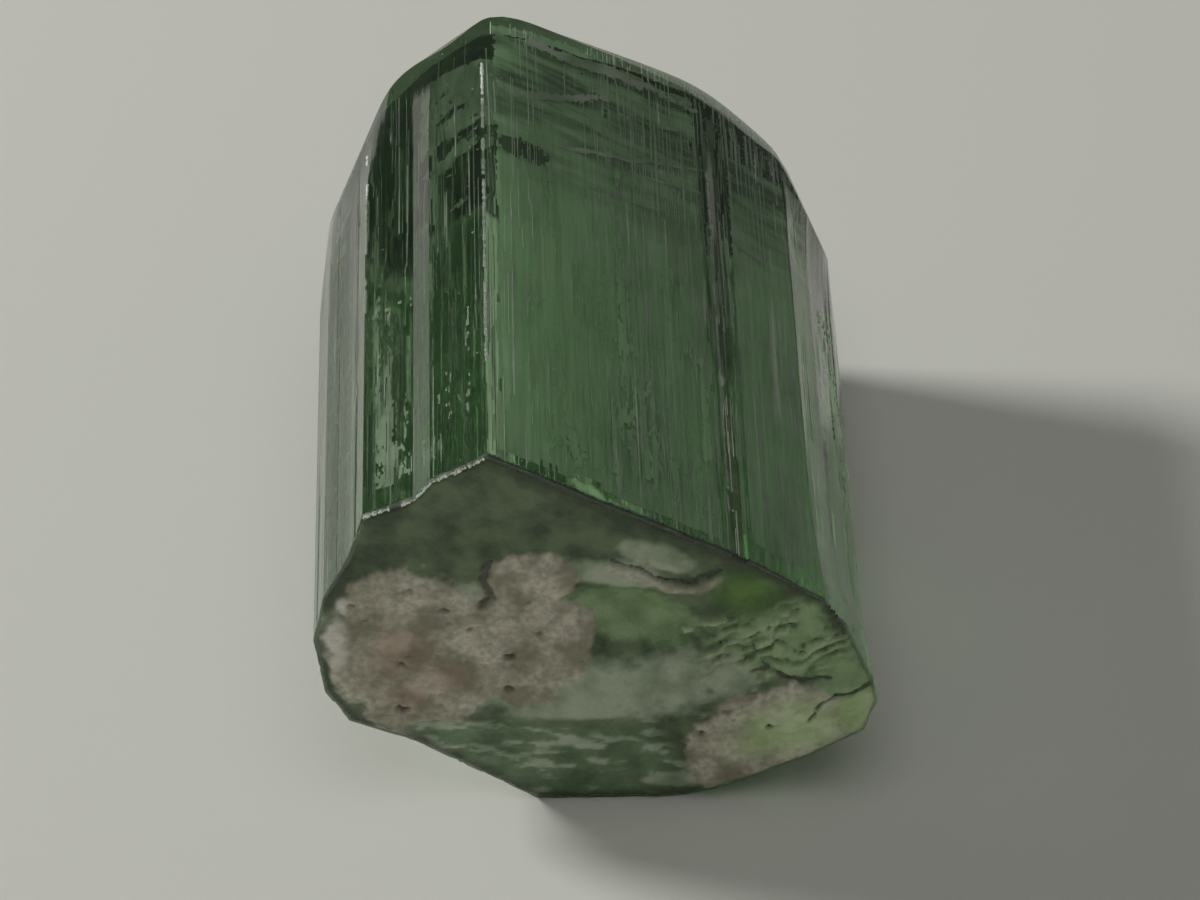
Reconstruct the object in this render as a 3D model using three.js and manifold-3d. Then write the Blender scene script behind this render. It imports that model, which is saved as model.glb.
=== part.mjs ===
// A green tourmaline crystal, lying on its side. It is one solid: a short striated prism with two lower
// wings grown onto its right side, a sloping natural termination at the far end and a rough broken base,
// crusted with pale matrix, at the near end.
//
// Frame: millimetres, +Z up. Y runs along the prism, from the broken base (-Y) to the termination (+Y).
// The origin is on the surface that the crystal lies on, under the middle of its bounding box.

import * as THREE from "three";
import { mergeVertices } from "three/addons/utils/BufferGeometryUtils.js";
import Module from "manifold-3d";

// ---- Driving dimensions -------------------------------------------------------------------------------

const WIDTH = 15.0; // across the prism, along X
const HEIGHT = 12.5; // from the narrow face it lies on to its top edge
const LENGTH = 21.0; // along the prism, from the broken base to the highest point of the termination
const STRIA_DEPTH = 0.04; // how far the growth ridges stand out from a side face
const GROOVE_DEPTH = 0.45; // of the groove between the main prism and the first wing
const SMALL_GROOVE_DEPTH = 0.16; // of the groove between the two wings
const WEAR_LEAN = THREE.MathUtils.degToRad(10); // of the worn bevel round the far end
const CRUST_THICKNESS = 0.2; // of the pale matrix left on the base
const BASE_RELIEF_CELLS = { across: 34, up: 28 }; // of the grid that shapes the broken base
const MARGIN = 4; // how far a cutting block reaches past the crystal

const HALF_WIDTH = WIDTH / 2;
const BASE_Y = -LENGTH / 2;
const TIP_Y = LENGTH / 2;

// ---- The cross-section --------------------------------------------------------------------------------

// The prism's corners, counter-clockwise from the top edge, as shares of HALF_WIDTH and HEIGHT. Each has
// the number of growth strips on the side that leaves it. The sides follow a tourmaline's prism faces,
// which stand at multiples of 30 degrees.
const CORNERS = [
  { name: "top edge", x: -0.377, z: 1.0, strips: 2 },
  { name: "stripe top", x: -0.575, z: 0.931, strips: 1 },
  { name: "stripe foot", x: -0.634, z: 0.882, strips: 5 },
  { name: "left shoulder", x: -0.811, z: 0.836, strips: 2 },
  { name: "left upper", x: -0.865, z: 0.725, strips: 2 },
  { name: "left bulge", x: -0.959, z: 0.608, strips: 2 },
  { name: "leftmost", x: -1.0, z: 0.49, strips: 3 },
  { name: "left lower", x: -0.967, z: 0.338, strips: 2 },
  { name: "left foot", x: -0.885, z: 0.252, strips: 2 },
  { name: "lower left", x: -0.692, z: 0.198, strips: 5 },
  { name: "resting face, left", x: -0.22, z: 0.0, strips: 1 },
  { name: "resting face, right", x: 0.32, z: 0.0, strips: 2 },
  { name: "low right", x: 0.493, z: 0.045, strips: 3 },
  { name: "right foot", x: 0.772, z: 0.126, strips: 2 },
  { name: "right corner", x: 0.956, z: 0.198, strips: 1 },
  { name: "rightmost", x: 1.0, z: 0.286, strips: 1 },
  { name: "right upper", x: 0.98, z: 0.348, strips: 3 },
  { name: "second wing", x: 0.875, z: 0.508, strips: 1, groove: SMALL_GROOVE_DEPTH },
  { name: "right shoulder", x: 0.801, z: 0.579, strips: 3 },
  { name: "first wing", x: 0.53, z: 0.691, strips: 1, groove: GROOVE_DEPTH },
  { name: "main prism, right", x: 0.471, z: 0.711, strips: 6 },
];

const corners = CORNERS.map((c) => ({ ...c, at: new THREE.Vector2(c.x * HALF_WIDTH, c.z * HEIGHT) }));

// The points along one side, from its own corner up to the next one: a shallow saw-tooth of growth strips,
// or the V of a groove where two individuals meet.
function sidePoints(corner, next) {
  const along = next.at.clone().sub(corner.at);
  const outward = new THREE.Vector2(along.y, -along.x).normalize();
  const points = [corner.at];
  if (corner.groove) {
    const floor = corner.at.clone().lerp(next.at, 0.5);
    points.push(floor.addScaledVector(outward, -corner.groove));
    return points;
  }
  for (let strip = 1; strip < corner.strips; strip++) {
    const uneven = 0.22 * Math.sin(2.4 * strip + corner.strips); // no two strips are equally wide
    const share = (strip + uneven) / corner.strips;
    const ridge = strip % 2 ? STRIA_DEPTH : 0;
    points.push(corner.at.clone().lerp(next.at, share).addScaledVector(outward, ridge));
  }
  return points;
}

// The outline is drawn in the shape's own XY plane and stands for the crystal's X and Z.
function crossSection() {
  const points = corners.flatMap((corner, i) => sidePoints(corner, corners[(i + 1) % corners.length]));
  return new THREE.Shape(points);
}

// ---- Solids -------------------------------------------------------------------------------------------

const wasm = await Module();
wasm.setup();

// A closed geometry as a manifold-3d solid, so that it can be cut.
function solidOf(geometry) {
  const bare = geometry.clone();
  bare.deleteAttribute("normal");
  bare.deleteAttribute("uv");
  const merged = mergeVertices(bare, 1e-4);
  return new wasm.Manifold(
    new wasm.Mesh({
      numProp: 3,
      vertProperties: new Float32Array(merged.attributes.position.array),
      triVerts: new Uint32Array(merged.index.array),
    }),
  );
}

// A manifold-3d solid as a geometry that three.js can draw.
function geometryOf(solid) {
  const mesh = solid.getMesh();
  const positions = new Float32Array(mesh.numVert * 3);
  for (let i = 0; i < mesh.numVert; i++) {
    positions.set(mesh.vertProperties.subarray(i * mesh.numProp, i * mesh.numProp + 3), i * 3);
  }
  const geometry = new THREE.BufferGeometry()
    .setAttribute("position", new THREE.BufferAttribute(positions, 3))
    .setIndex(new THREE.BufferAttribute(mesh.triVerts, 1));
  geometry.computeVertexNormals();
  return geometry;
}

// The striated prism, a little longer than the crystal, so that both ends can be cut from it.
function prism() {
  const length = LENGTH + 2 * MARGIN;
  const geometry = new THREE.ExtrudeGeometry(crossSection(), { depth: length, bevelEnabled: false });
  geometry.rotateX(Math.PI / 2); // the outline's Y becomes the crystal's Z, and its depth runs along -Y
  geometry.translate(0, length / 2, 0);
  return solidOf(geometry);
}

// A large block whose one face lies on the plane through point with that outward normal: what it covers is
// cut away.
function blockBeyond(point, normal) {
  const size = 3 * LENGTH;
  const geometry = new THREE.BoxGeometry(size, size, size);
  geometry.translate(0, 0, size / 2);
  const turn = new THREE.Quaternion().setFromUnitVectors(new THREE.Vector3(0, 0, 1), normal);
  geometry.applyQuaternion(turn);
  geometry.translate(point.x, point.y, point.z);
  return solidOf(geometry);
}

// ---- The termination ----------------------------------------------------------------------------------

// Two faces of a low three-sided pyramid meet in a ridge over the groove. Each falls towards downhill, an
// angle in the cross-section. Both pass through the ridge's tip, which a small flat end face takes off.
const TIP_TAKEN_OFF = 0.3;
const RIDGE_TIP = new THREE.Vector3(0.52 * HALF_WIDTH, TIP_Y + TIP_TAKEN_OFF, 0.7 * HEIGHT);
const PYRAMID_FACES = [
  { name: "large face", downhill: THREE.MathUtils.degToRad(212), slope: 0.42 },
  { name: "right face", downhill: THREE.MathUtils.degToRad(330), slope: 0.55 },
];

// Where the termination lies along Y over a point of the cross-section: on the lower of its two faces.
function pyramidY(x, z) {
  const heights = PYRAMID_FACES.map((face) => {
    const fall = (x - RIDGE_TIP.x) * Math.cos(face.downhill) + (z - RIDGE_TIP.z) * Math.sin(face.downhill);
    return RIDGE_TIP.y - face.slope * fall;
  });
  return Math.min(...heights);
}

function pyramidCut(face) {
  const normal = new THREE.Vector3(
    face.slope * Math.cos(face.downhill),
    1,
    face.slope * Math.sin(face.downhill),
  );
  return blockBeyond(RIDGE_TIP, normal.normalize());
}

// The rim of the far end is worn: a bevel leans over each long side. x and z give a point on the side, facing
// the way it looks in the cross-section, and wornBack how far from the termination its wear begins.
const WORN_SIDES = [
  { name: "left top face", x: -0.47, z: 0.968, facingDeg: 120, wornBack: 1.3 },
  { name: "top edge", x: -0.377, z: 1.0, facingDeg: 92, wornBack: 1.2 },
  { name: "right top face", x: 0.05, z: 0.856, facingDeg: 60, wornBack: 1.0 },
  { name: "first wing", x: 0.66, z: 0.638, facingDeg: 50, wornBack: 1.6 },
  { name: "second wing", x: 0.9, z: 0.46, facingDeg: 22, wornBack: 1.6 },
  { name: "left side", x: -0.9, z: 0.67, facingDeg: 158, wornBack: 0.6 },
  { name: "lower left", x: -0.41, z: 0.1, facingDeg: 240, wornBack: 1.2 },
];

function wornBevel(side) {
  const facing = THREE.MathUtils.degToRad(side.facingDeg);
  const normal = new THREE.Vector3(
    Math.cos(facing) * Math.cos(WEAR_LEAN),
    Math.sin(WEAR_LEAN),
    Math.sin(facing) * Math.cos(WEAR_LEAN),
  );
  const x = side.x * HALF_WIDTH;
  const z = side.z * HEIGHT;
  return blockBeyond(new THREE.Vector3(x, pyramidY(x, z) - side.wornBack, z), normal);
}

// ---- The broken base ----------------------------------------------------------------------------------

// Raised pads of pale matrix, as ellipses on the base: middle and radii in millimetres.
const CRUST_PADS = [
  { name: "left pad", x: -4.6, z: 6.3, radiusX: 2.7, radiusZ: 2.9 },
  { name: "upper pad", x: -1.3, z: 8.2, radiusX: 1.5, radiusZ: 1.3 },
  { name: "middle pad", x: -0.8, z: 5.0, radiusX: 2.6, radiusZ: 1.8 },
  { name: "lower right pad", x: 4.2, z: 3.0, radiusX: 2.7, radiusZ: 1.7 },
];

// Hollows that the break left, with their depth.
const HOLLOWS = [
  { name: "green hollow", x: 1.3, z: 7.0, radiusX: 1.8, radiusZ: 1.5, depth: 0.45 },
  { name: "right hollow", x: 4.7, z: 7.2, radiusX: 1.5, radiusZ: 1.1, depth: 0.3 },
];

const CHIP = { top: 3.4, slope: 0.03, left: -5.2, right: 3.4, run: 2.2 }; // slants back along the lower edge
const FRACTURE_WAVE = { height: 0.09, length: 3.1 }; // the slow swell of the whole break

// 1 in the middle of a pad or hollow, falling smoothly to 0 at its edge.
function inside(spot, x, z) {
  const reach = Math.hypot((x - spot.x) / spot.radiusX, (z - spot.z) / spot.radiusZ);
  return 1 - THREE.MathUtils.smoothstep(reach, 0.8, 1.15);
}

// Where the base's surface lies along Y: matrix stands out towards -Y, and hollows and the chip go in.
function baseSurfaceY(x, z) {
  const turn = (2 * Math.PI) / FRACTURE_WAVE.length;
  let y = BASE_Y + CRUST_THICKNESS + FRACTURE_WAVE.height * Math.sin(turn * x) * Math.cos(0.8 * turn * z);
  for (const hollow of HOLLOWS) y += hollow.depth * inside(hollow, x, z);
  const acrossChip =
    THREE.MathUtils.smoothstep(x, CHIP.left, CHIP.left + CHIP.run) *
    (1 - THREE.MathUtils.smoothstep(x, CHIP.right - CHIP.run, CHIP.right));
  y += acrossChip * CHIP.slope * Math.max(CHIP.top - z, 0);
  const crust = Math.max(...CRUST_PADS.map((pad) => inside(pad, x, z)));
  return Math.max(y - CRUST_THICKNESS * crust, BASE_Y);
}

// A block in front of the base whose back face has the base's relief: cutting it away leaves the break.
function baseCutter() {
  const across = WIDTH + 2 * MARGIN;
  const up = HEIGHT + 2 * MARGIN;
  const { across: cellsAcross, up: cellsUp } = BASE_RELIEF_CELLS;
  const geometry = new THREE.BoxGeometry(across, up, 2 * MARGIN, cellsAcross, cellsUp, 1);
  geometry.rotateX(-Math.PI / 2); // the face that looked along +Z now looks along +Y
  geometry.rotateY(Math.PI); // the face's own up is the crystal's up again
  geometry.translate(0, BASE_Y - MARGIN, HEIGHT / 2);
  const position = geometry.attributes.position;
  for (let i = 0; i < position.count; i++) {
    if (position.getY(i) > BASE_Y - MARGIN) {
      position.setY(i, baseSurfaceY(position.getX(i), position.getZ(i)));
    }
  }
  return solidOf(geometry);
}

// ---- The crystal --------------------------------------------------------------------------------------

function crystalSolid() {
  const endFace = blockBeyond(new THREE.Vector3(0, TIP_Y, 0), new THREE.Vector3(0, 1, 0));
  let solid = prism().subtract(baseCutter()).subtract(endFace);
  for (const face of PYRAMID_FACES) solid = solid.subtract(pyramidCut(face));
  for (const side of WORN_SIDES) solid = solid.subtract(wornBevel(side));
  return solid;
}

const tourmaline = new THREE.MeshStandardMaterial({ color: "#4a6243", roughness: 0.18, metalness: 0 });

const crystal = new THREE.Mesh(geometryOf(crystalSolid()), tourmaline);
crystal.name = "tourmaline_crystal";

const part = new THREE.Group();
part.add(crystal);

export default part;
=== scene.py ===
# %% [markdown]
# # A green tourmaline crystal
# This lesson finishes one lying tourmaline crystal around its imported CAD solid. The solid already has the
# right size and place, so the outline and both ends start from its box, and lengths are in millimetres. The
# crystal is one piece: a striated prism, two lower wings grown along its right side, a worn pyramid at the
# far end and a broken, crusted base in front.

import math

import bpy
import numpy as np
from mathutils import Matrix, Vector


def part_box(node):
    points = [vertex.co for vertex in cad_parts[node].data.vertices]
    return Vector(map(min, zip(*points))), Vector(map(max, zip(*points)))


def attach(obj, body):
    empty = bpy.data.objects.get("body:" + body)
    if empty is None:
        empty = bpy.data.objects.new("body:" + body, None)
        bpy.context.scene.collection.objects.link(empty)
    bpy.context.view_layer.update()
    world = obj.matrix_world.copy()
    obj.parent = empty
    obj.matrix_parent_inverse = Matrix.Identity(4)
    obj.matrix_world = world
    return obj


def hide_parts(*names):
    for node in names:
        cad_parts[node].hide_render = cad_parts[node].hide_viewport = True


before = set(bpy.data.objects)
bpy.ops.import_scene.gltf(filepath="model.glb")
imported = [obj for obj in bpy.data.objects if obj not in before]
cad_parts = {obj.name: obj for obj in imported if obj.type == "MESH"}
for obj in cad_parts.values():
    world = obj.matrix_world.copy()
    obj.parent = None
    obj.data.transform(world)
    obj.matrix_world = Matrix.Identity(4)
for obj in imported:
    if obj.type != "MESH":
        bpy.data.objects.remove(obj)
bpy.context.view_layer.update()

# %% Sizes that everything starts from
MM = 0.001
NODE = "tourmaline_crystal"
lowest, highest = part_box(NODE)
HALF_WIDTH = (highest.x - lowest.x) / 2 / MM
HEIGHT = (highest.z - lowest.z) / MM
BASE_Y = lowest.y / MM
TIP_Y = highest.y / MM
print(f"crystal: {2 * HALF_WIDTH:.1f} wide, {HEIGHT:.1f} high, {TIP_Y - BASE_Y:.1f} long, in mm")

# %% [markdown]
# ## Camera first
# A long lens at about ten crystal widths looks down on the broken base, a little over forty degrees. The
# camera is made before the crystal, because every later choice is judged through it.

# %% Camera
CAMERA_DISTANCE = 150.7
CAMERA_ELEVATION = math.radians(41)
CAMERA_AZIMUTH = math.radians(-1.5)
LENS = 160.5
look_at = Vector((0.045 * HALF_WIDTH, -0.05, 0.295 * HEIGHT)) * MM


def towards(azimuth, elevation):
    """The direction from the crystal to a camera or lamp. Azimuth 0 is straight in front of the base."""
    return Vector(
        (
            math.sin(azimuth) * math.cos(elevation),
            -math.cos(azimuth) * math.cos(elevation),
            math.sin(elevation),
        )
    )


def aim(thing, place, target):
    """Puts a camera or lamp at place and turns it to face target."""
    thing.location = place
    thing.rotation_euler = (target - place).to_track_quat("-Z", "Y").to_euler()
    bpy.context.scene.collection.objects.link(thing)


camera = bpy.data.objects.new("camera", bpy.data.cameras.new("camera"))
camera.data.lens = LENS
camera.data.clip_start = 0.005
camera.data.clip_end = 5
aim(camera, look_at + towards(CAMERA_AZIMUTH, CAMERA_ELEVATION) * CAMERA_DISTANCE * MM, look_at)
bpy.context.scene.camera = camera
print("camera at", [round(c / MM, 1) for c in camera.location], "mm")

# %% [markdown]
# ## The noise that roughens natural surfaces
# Broken rock and worn growth faces have no formula, so they take a smooth random field. Blender's own noise
# works one point at a time. A lattice of hashed random values, blended smoothly, does a whole array at once
# and gives the same field on every run.


# %% Smooth noise on arrays
def ramp(low, high, value):
    """0 at low, 1 at high and smooth between, whichever of the two is the greater."""
    t = np.clip((value - low) / (high - low), 0, 1)
    return t * t * (3 - 2 * t)


def lattice_noise(u, v, seed):
    """Smooth noise from -1 to 1, with bumps one unit apart."""
    u, v = np.broadcast_arrays(np.asarray(u, float), np.asarray(v, float))
    cell_u, cell_v = np.floor(u).astype(np.int64), np.floor(v).astype(np.int64)
    blend_u, blend_v = ramp(0, 1, u - cell_u), ramp(0, 1, v - cell_v)

    def corner(a, b):
        h = (a * 374761393 + b * 668265263 + seed * 974634777) & 0xFFFFFFFF
        h = ((h ^ (h >> 13)) * 1274126177) & 0xFFFFFFFF
        return (h ^ (h >> 16)) / 0xFFFFFFFF * 2 - 1

    near = corner(cell_u, cell_v) * (1 - blend_u) + corner(cell_u + 1, cell_v) * blend_u
    far = corner(cell_u, cell_v + 1) * (1 - blend_u) + corner(cell_u + 1, cell_v + 1) * blend_u
    return near * (1 - blend_v) + far * blend_v


def rough_noise(u, v, seed, octaves=4):
    """Noise with finer and weaker copies of itself on top, still about -1 to 1."""
    total = 0
    for octave in range(octaves):
        scale = 2.03**octave
        total = total + lattice_noise(u * scale, v * scale, seed + octave) / 1.9**octave
    return total / 1.6


print("noise at three places:", rough_noise(np.array([0.5, 1.5, 2.5]), 0.3, seed=1).round(3))

# %% [markdown]
# ## The prism's outline
# Tourmaline grows as a prism whose faces stand at multiples of thirty degrees. Its striations are steps:
# flat strips along the length, joined by narrow faces that lean thirty degrees the other way. A bump map
# would lose their sharp lines in glass, so each strip and step is real geometry in the outline. The corners
# are the CAD solid's own, as shares of its half width and height, counter-clockwise from the top edge.

# %% Corners of the cross-section
CORNERS = [  # x and z shares, and the mean width in mm of the growth strips on the side that leaves it
    ("top edge", -0.377, 1.0, 0.30),
    ("stripe top", -0.575, 0.931, 9),
    ("stripe foot", -0.634, 0.882, 0.13),
    ("left shoulder", -0.811, 0.836, 0.30),
    ("left upper", -0.865, 0.725, 0.35),
    ("left bulge", -0.959, 0.608, 0.30),
    ("leftmost", -1.0, 0.49, 0.30),
    ("left lower", -0.967, 0.338, 0.30),
    ("left foot", -0.885, 0.252, 0.40),
    ("lower left", -0.692, 0.198, 0.30),
    ("resting face, left", -0.22, 0.0, 9),
    ("resting face, right", 0.32, 0.0, 0.30),
    ("low right", 0.493, 0.045, 0.30),
    ("right foot", 0.772, 0.126, 0.30),
    ("right corner", 0.956, 0.198, 0.30),
    ("rightmost", 1.0, 0.286, 0.30),
    ("right upper", 0.98, 0.348, 0.22),
    ("second wing", 0.875, 0.508, 0.2),
    ("right shoulder", 0.801, 0.579, 0.2),
    ("first wing", 0.53, 0.691, 9),
    ("main prism, right", 0.471, 0.711, 0.34),
]
GROOVES = {"first wing": 0.42, "second wing": 0.12}  # depth in mm of the V where two individuals meet
STEP_LEAN = math.radians(30)
STEP_HEIGHTS = (0.0, 0.010, 0.022, 0.035)
PLAIN_STEP = 0.3  # spacing in mm of the points along a side that has no strips
corner_points = np.array([(x * HALF_WIDTH, z * HEIGHT) for _, x, z, _ in CORNERS])


def strip_levels(count, draw):
    """How far below the side each strip lies. The first and last stay level with the corners."""
    levels = draw.choice(STEP_HEIGHTS, size=count, p=(0.3, 0.3, 0.25, 0.15))
    levels[0] = levels[-1] = 0
    return levels


def striated_outline(seed):
    """The outline's points, each side's outward normal, how deep each point's strip lies, and its strip."""
    draw = np.random.default_rng(seed)
    points, normals, depths, strips = [], [], [], []
    for i, (name, _, _, strip_width) in enumerate(CORNERS):
        start, end = corner_points[i], corner_points[(i + 1) % len(CORNERS)]
        length = np.linalg.norm(end - start)
        along = (end - start) / length
        outward = np.array([along[1], -along[0]])
        rows = [(0.0, 0.0)]
        if name in GROOVES:
            rows.append((0.55 * length, GROOVES[name]))
        elif strip_width > length / 2:
            rows = [(distance, 0.0) for distance in np.arange(0, length - PLAIN_STEP / 2, PLAIN_STEP)]
        else:
            count = max(3, round(length / strip_width))
            widths = draw.uniform(0.35, 1.65, count)
            edges = np.cumsum(widths)[:-1] / widths.sum() * length
            levels = strip_levels(count, draw)
            for edge, before, after in zip(edges, levels, levels[1:]):
                half_step = max(abs(after - before) / math.tan(STEP_LEAN) / 2, 0.004)
                rows += [(edge - half_step, before), (edge + half_step, after)]
        for distance, depth in rows:
            points.append(start + along * distance)
            normals.append(outward)
            depths.append(depth)
            strips.append(len(strips) // 2)
    return np.array(points), np.array(normals), np.array(depths), np.array(strips)


def smoothed(points, radius):
    """A closed outline whose points are moved to the mean of what lies within about radius of them."""
    steps = np.linalg.norm(np.roll(points, -1, axis=0) - points, axis=1)
    place = np.concatenate([[0], np.cumsum(steps)[:-1]])
    gap = np.abs(place[:, None] - place)
    gap = np.minimum(gap, steps.sum() - gap)
    weights = np.exp(-((gap / radius) ** 2)) * (steps + np.roll(steps, 1))
    return weights @ points / weights.sum(axis=1, keepdims=True)


WEAR_RADIUS = 1.6
GROOVE_KEEP = 0.8  # how far from a groove the outline keeps its notch when its edges are worn, in mm
outline, outline_normals, outline_depths, outline_strips = striated_outline(seed=7)
groove_middles = [
    (corner_points[i] + corner_points[i + 1]) / 2
    for i in range(len(CORNERS) - 1)
    if CORNERS[i][0] in GROOVES
]
groove_distance = np.min([np.linalg.norm(outline - middle, axis=1) for middle in groove_middles], axis=0)
worn_outline = smoothed(outline, WEAR_RADIUS)
worn_outline += (smoothed(outline, 0.25) - worn_outline) * ramp(GROOVE_KEEP, 0.2, groove_distance)[:, None]
print(len(outline), "points round the prism, for", int((outline_depths > 0).sum() / 2), "sunken strips")

# %% [markdown]
# ## The far end
# The termination is the stump of a low pyramid. Two of its faces are left, and handling has worn a bevel
# round the rim. All of these are planes, so the far end is the lowest of a few sloping planes at each
# point. A soft minimum rounds the edges a little, as wear does, where a plain minimum would leave them
# knife-sharp.

# %% Height of the far end over the cross-section
RIDGE = (0.52 * HALF_WIDTH, TIP_Y + 0.3, 0.7 * HEIGHT)
PYRAMID_FACES = [(212, 0.42), (330, 0.55)]  # which way each falls, in degrees, and its slope
WORN_SIDES = [  # x and z shares of a point on the side, the way it faces, and how far back its wear reaches
    ("left top face", -0.47, 0.968, 120, 1.3),
    ("top edge", -0.377, 1.0, 92, 1.0),
    ("right top face", 0.05, 0.856, 60, 0.35),
    ("first wing", 0.66, 0.638, 50, 1.6),
    ("second wing", 0.9, 0.46, 22, 1.6),
    ("left side", -0.9, 0.67, 158, 0.6),
    ("lower left", -0.41, 0.1, 240, 1.2),
]
WEAR_LEAN = math.radians(10)
EDGE_SOFTNESS = 0.5


def pyramid_y(x, z):
    """Where the pyramid's faces lie along Y, one row for each."""
    rows = []
    for downhill, slope in PYRAMID_FACES:
        downhill = math.radians(downhill)
        fall = (x - RIDGE[0]) * math.cos(downhill) + (z - RIDGE[2]) * math.sin(downhill)
        rows.append(RIDGE[1] - slope * fall)
    return rows


def tip_y(x, z):
    """Where the far end's surface lies along Y, in mm."""
    planes = pyramid_y(x, z)
    for _, share_x, share_z, facing, worn_back in WORN_SIDES:
        side_x, side_z = share_x * HALF_WIDTH, share_z * HEIGHT
        facing = math.radians(facing)
        outwards = (x - side_x) * math.cos(facing) + (z - side_z) * math.sin(facing)
        planes.append(min(pyramid_y(side_x, side_z)) - worn_back - outwards / math.tan(WEAR_LEAN))
    planes = np.array(planes) + 0.03 * rough_noise(x / 1.3, z / 1.3, seed=31)
    least = planes.min(axis=0)
    soft = least - EDGE_SOFTNESS * np.log(np.exp(-(planes - least) / EDGE_SOFTNESS).sum(axis=0))
    return np.minimum(soft, TIP_Y)


print("far end at the top edge:", tip_y(*corner_points[0]).round(2), "mm along Y")

# %% [markdown]
# ## The broken base
# The near end is a fracture: a smooth curved band under the top edges, a hollow in the middle, and a chip
# that slants back along the lower edge, coarser than the rest. The matrix crust sits on it, so the glassy
# surface starts one crust thickness behind the box's front.

# %% Height of the base over the cross-section
CRUST_ALLOWANCE = 0.2
HOLLOWS = [  # middle, radii, turn in degrees and depth, in mm
    (0.9, 6.7, 2.3, 1.35, -20, 0.5),
    (4.4, 7.3, 1.7, 1.0, -35, 0.25),
    (-2.0, 10.0, 3.6, 1.2, -5, 0.12),
]
CHIP_TOP = 3.2
CHIP_SLOPE = 0.02


def reach(x, z, middle_x, middle_z, radius_x, radius_z, turn=0.0):
    """0 in the middle of a turned ellipse and 1 on its edge."""
    c, s = math.cos(math.radians(turn)), math.sin(math.radians(turn))
    dx, dz = x - middle_x, z - middle_z
    return np.hypot((dx * c + dz * s) / radius_x, (dz * c - dx * s) / radius_z)


def chip_share(x, z):
    """1 on the slanting chip along the lower edge, 0 above it."""
    wavy_top = CHIP_TOP + 0.22 * rough_noise(x / 1.1, z / 1.1, seed=43)
    sideways = ramp(-5.6, -4.6, x) * (1 - ramp(2.0, 3.0, x + 0.5 * (z - 1)))
    return sideways * (1 - ramp(wavy_top - 0.25, wavy_top, z))


def base_y(x, z):
    """Where the base's glassy surface lies along Y, in mm."""
    y = BASE_Y + CRUST_ALLOWANCE + 0.06 * rough_noise(x / 3.1, z / 3.1, seed=41, octaves=2)
    for middle_x, middle_z, radius_x, radius_z, turn, depth in HOLLOWS:
        y = y + depth * (1 - ramp(0.0, 1.1, reach(x, z, middle_x, middle_z, radius_x, radius_z, turn)))
    chip = chip_share(x, z)
    y = y + chip * (0.06 + CHIP_SLOPE * (CHIP_TOP - z))
    coarse = 0.008 + 0.035 * chip
    return y + coarse * rough_noise(x / 0.5, z / 0.5, seed=47)


print("base at its middle:", base_y(np.array(0.0), np.array(5.0)).round(2), "mm along Y")

# %% [markdown]
# ## The crystal as one closed mesh
# The outline is copied in rings: from the middle of the base out to its rim, along the prism, and in again
# over the termination. That keeps it one closed, outward-facing skin, which glass needs. A boolean of a
# prism and two rough ends would give the same shape with ragged triangles along every cut.

# %% Rings from the middle of the base to the middle of the tip
RING_MIDDLE = np.array([0.9, 5.6])  # inside the prism, and in sight of the whole outline
SIDE_RINGS = 64
BASE_RINGS = 60
TIP_RINGS = 44
STRIA_FADE_LENGTH = 5.0
WEAR_REACH = 3.8  # how far from the far end the edges are worn round, in mm
BASE_FLARE = 0.2  # how much further the right side stands out at the base than along the prism, in mm
RIM_SPACING = 3.0  # how strongly cap rings crowd towards the rim


def side_outline(share):
    """The outline at that share of the way along the prism, with its strips fading in and out."""
    y = share * (TIP_Y - BASE_Y)
    fade = ramp(-0.75, 0.35, lattice_noise(outline_strips * 7.31, y / STRIA_FADE_LENGTH, seed=11))
    wander = 0.012 * lattice_noise(outline_strips * 3.17, y / 3.3, seed=13) * (outline_depths > 0)
    sideways = np.stack([outline_normals[:, 1], -outline_normals[:, 0]], 1)
    flare = -BASE_FLARE * ramp(0.0, 0.22, share) * ramp(0.55, 0.85, outline[:, 0] / HALF_WIDTH)
    flared = outline + np.stack([flare, np.zeros(len(outline))], 1)
    fresh = flared - outline_normals * (outline_depths * fade)[:, None] + sideways * wander[:, None]
    wear = max(0.0, 1 - (TIP_Y - BASE_Y - y) / WEAR_REACH) ** 1.4
    return fresh * (1 - wear) + worn_outline * wear


def cap_shares(count):
    """Shares of the way from the middle to the rim, closer together at the rim."""
    t = np.linspace(0, 1, count + 1)[1:]
    return 1 - (1 - t) ** RIM_SPACING * 0.35 - (1 - t) * 0.65


def crystal_rings():
    """All the rings in order, each an array of x, y, z."""
    rings = []
    rim = side_outline(0.0)
    for s in cap_shares(BASE_RINGS)[:-1]:
        flat = RING_MIDDLE + (rim - RING_MIDDLE) * s
        rings.append(np.column_stack([flat[:, 0], base_y(flat[:, 0], flat[:, 1]), flat[:, 1]]))
    for t in np.linspace(0, 1, SIDE_RINGS):
        share = t - 0.16 * math.sin(2 * math.pi * t) / math.pi
        flat = side_outline(share)
        near, far = base_y(flat[:, 0], flat[:, 1]), tip_y(flat[:, 0], flat[:, 1])
        rings.append(np.column_stack([flat[:, 0], near + share * (far - near), flat[:, 1]]))
    rim = side_outline(1.0)
    for s in cap_shares(TIP_RINGS)[-2::-1]:
        flat = RING_MIDDLE + (rim - RING_MIDDLE) * s
        rings.append(np.column_stack([flat[:, 0], tip_y(flat[:, 0], flat[:, 1]), flat[:, 1]]))
    return rings


rings = crystal_rings()
print(len(rings), "rings of", len(outline), "points")


# %% A mesh object from points and faces
def mesh_object(name, points_mm, faces):
    """A mesh object at the origin, from points in mm."""
    mesh = bpy.data.meshes.new(name)
    mesh.from_pydata((np.asarray(points_mm) * MM).tolist(), [], faces)
    mesh.validate()
    thing = bpy.data.objects.new(name, mesh)
    bpy.context.scene.collection.objects.link(thing)
    return thing


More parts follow.
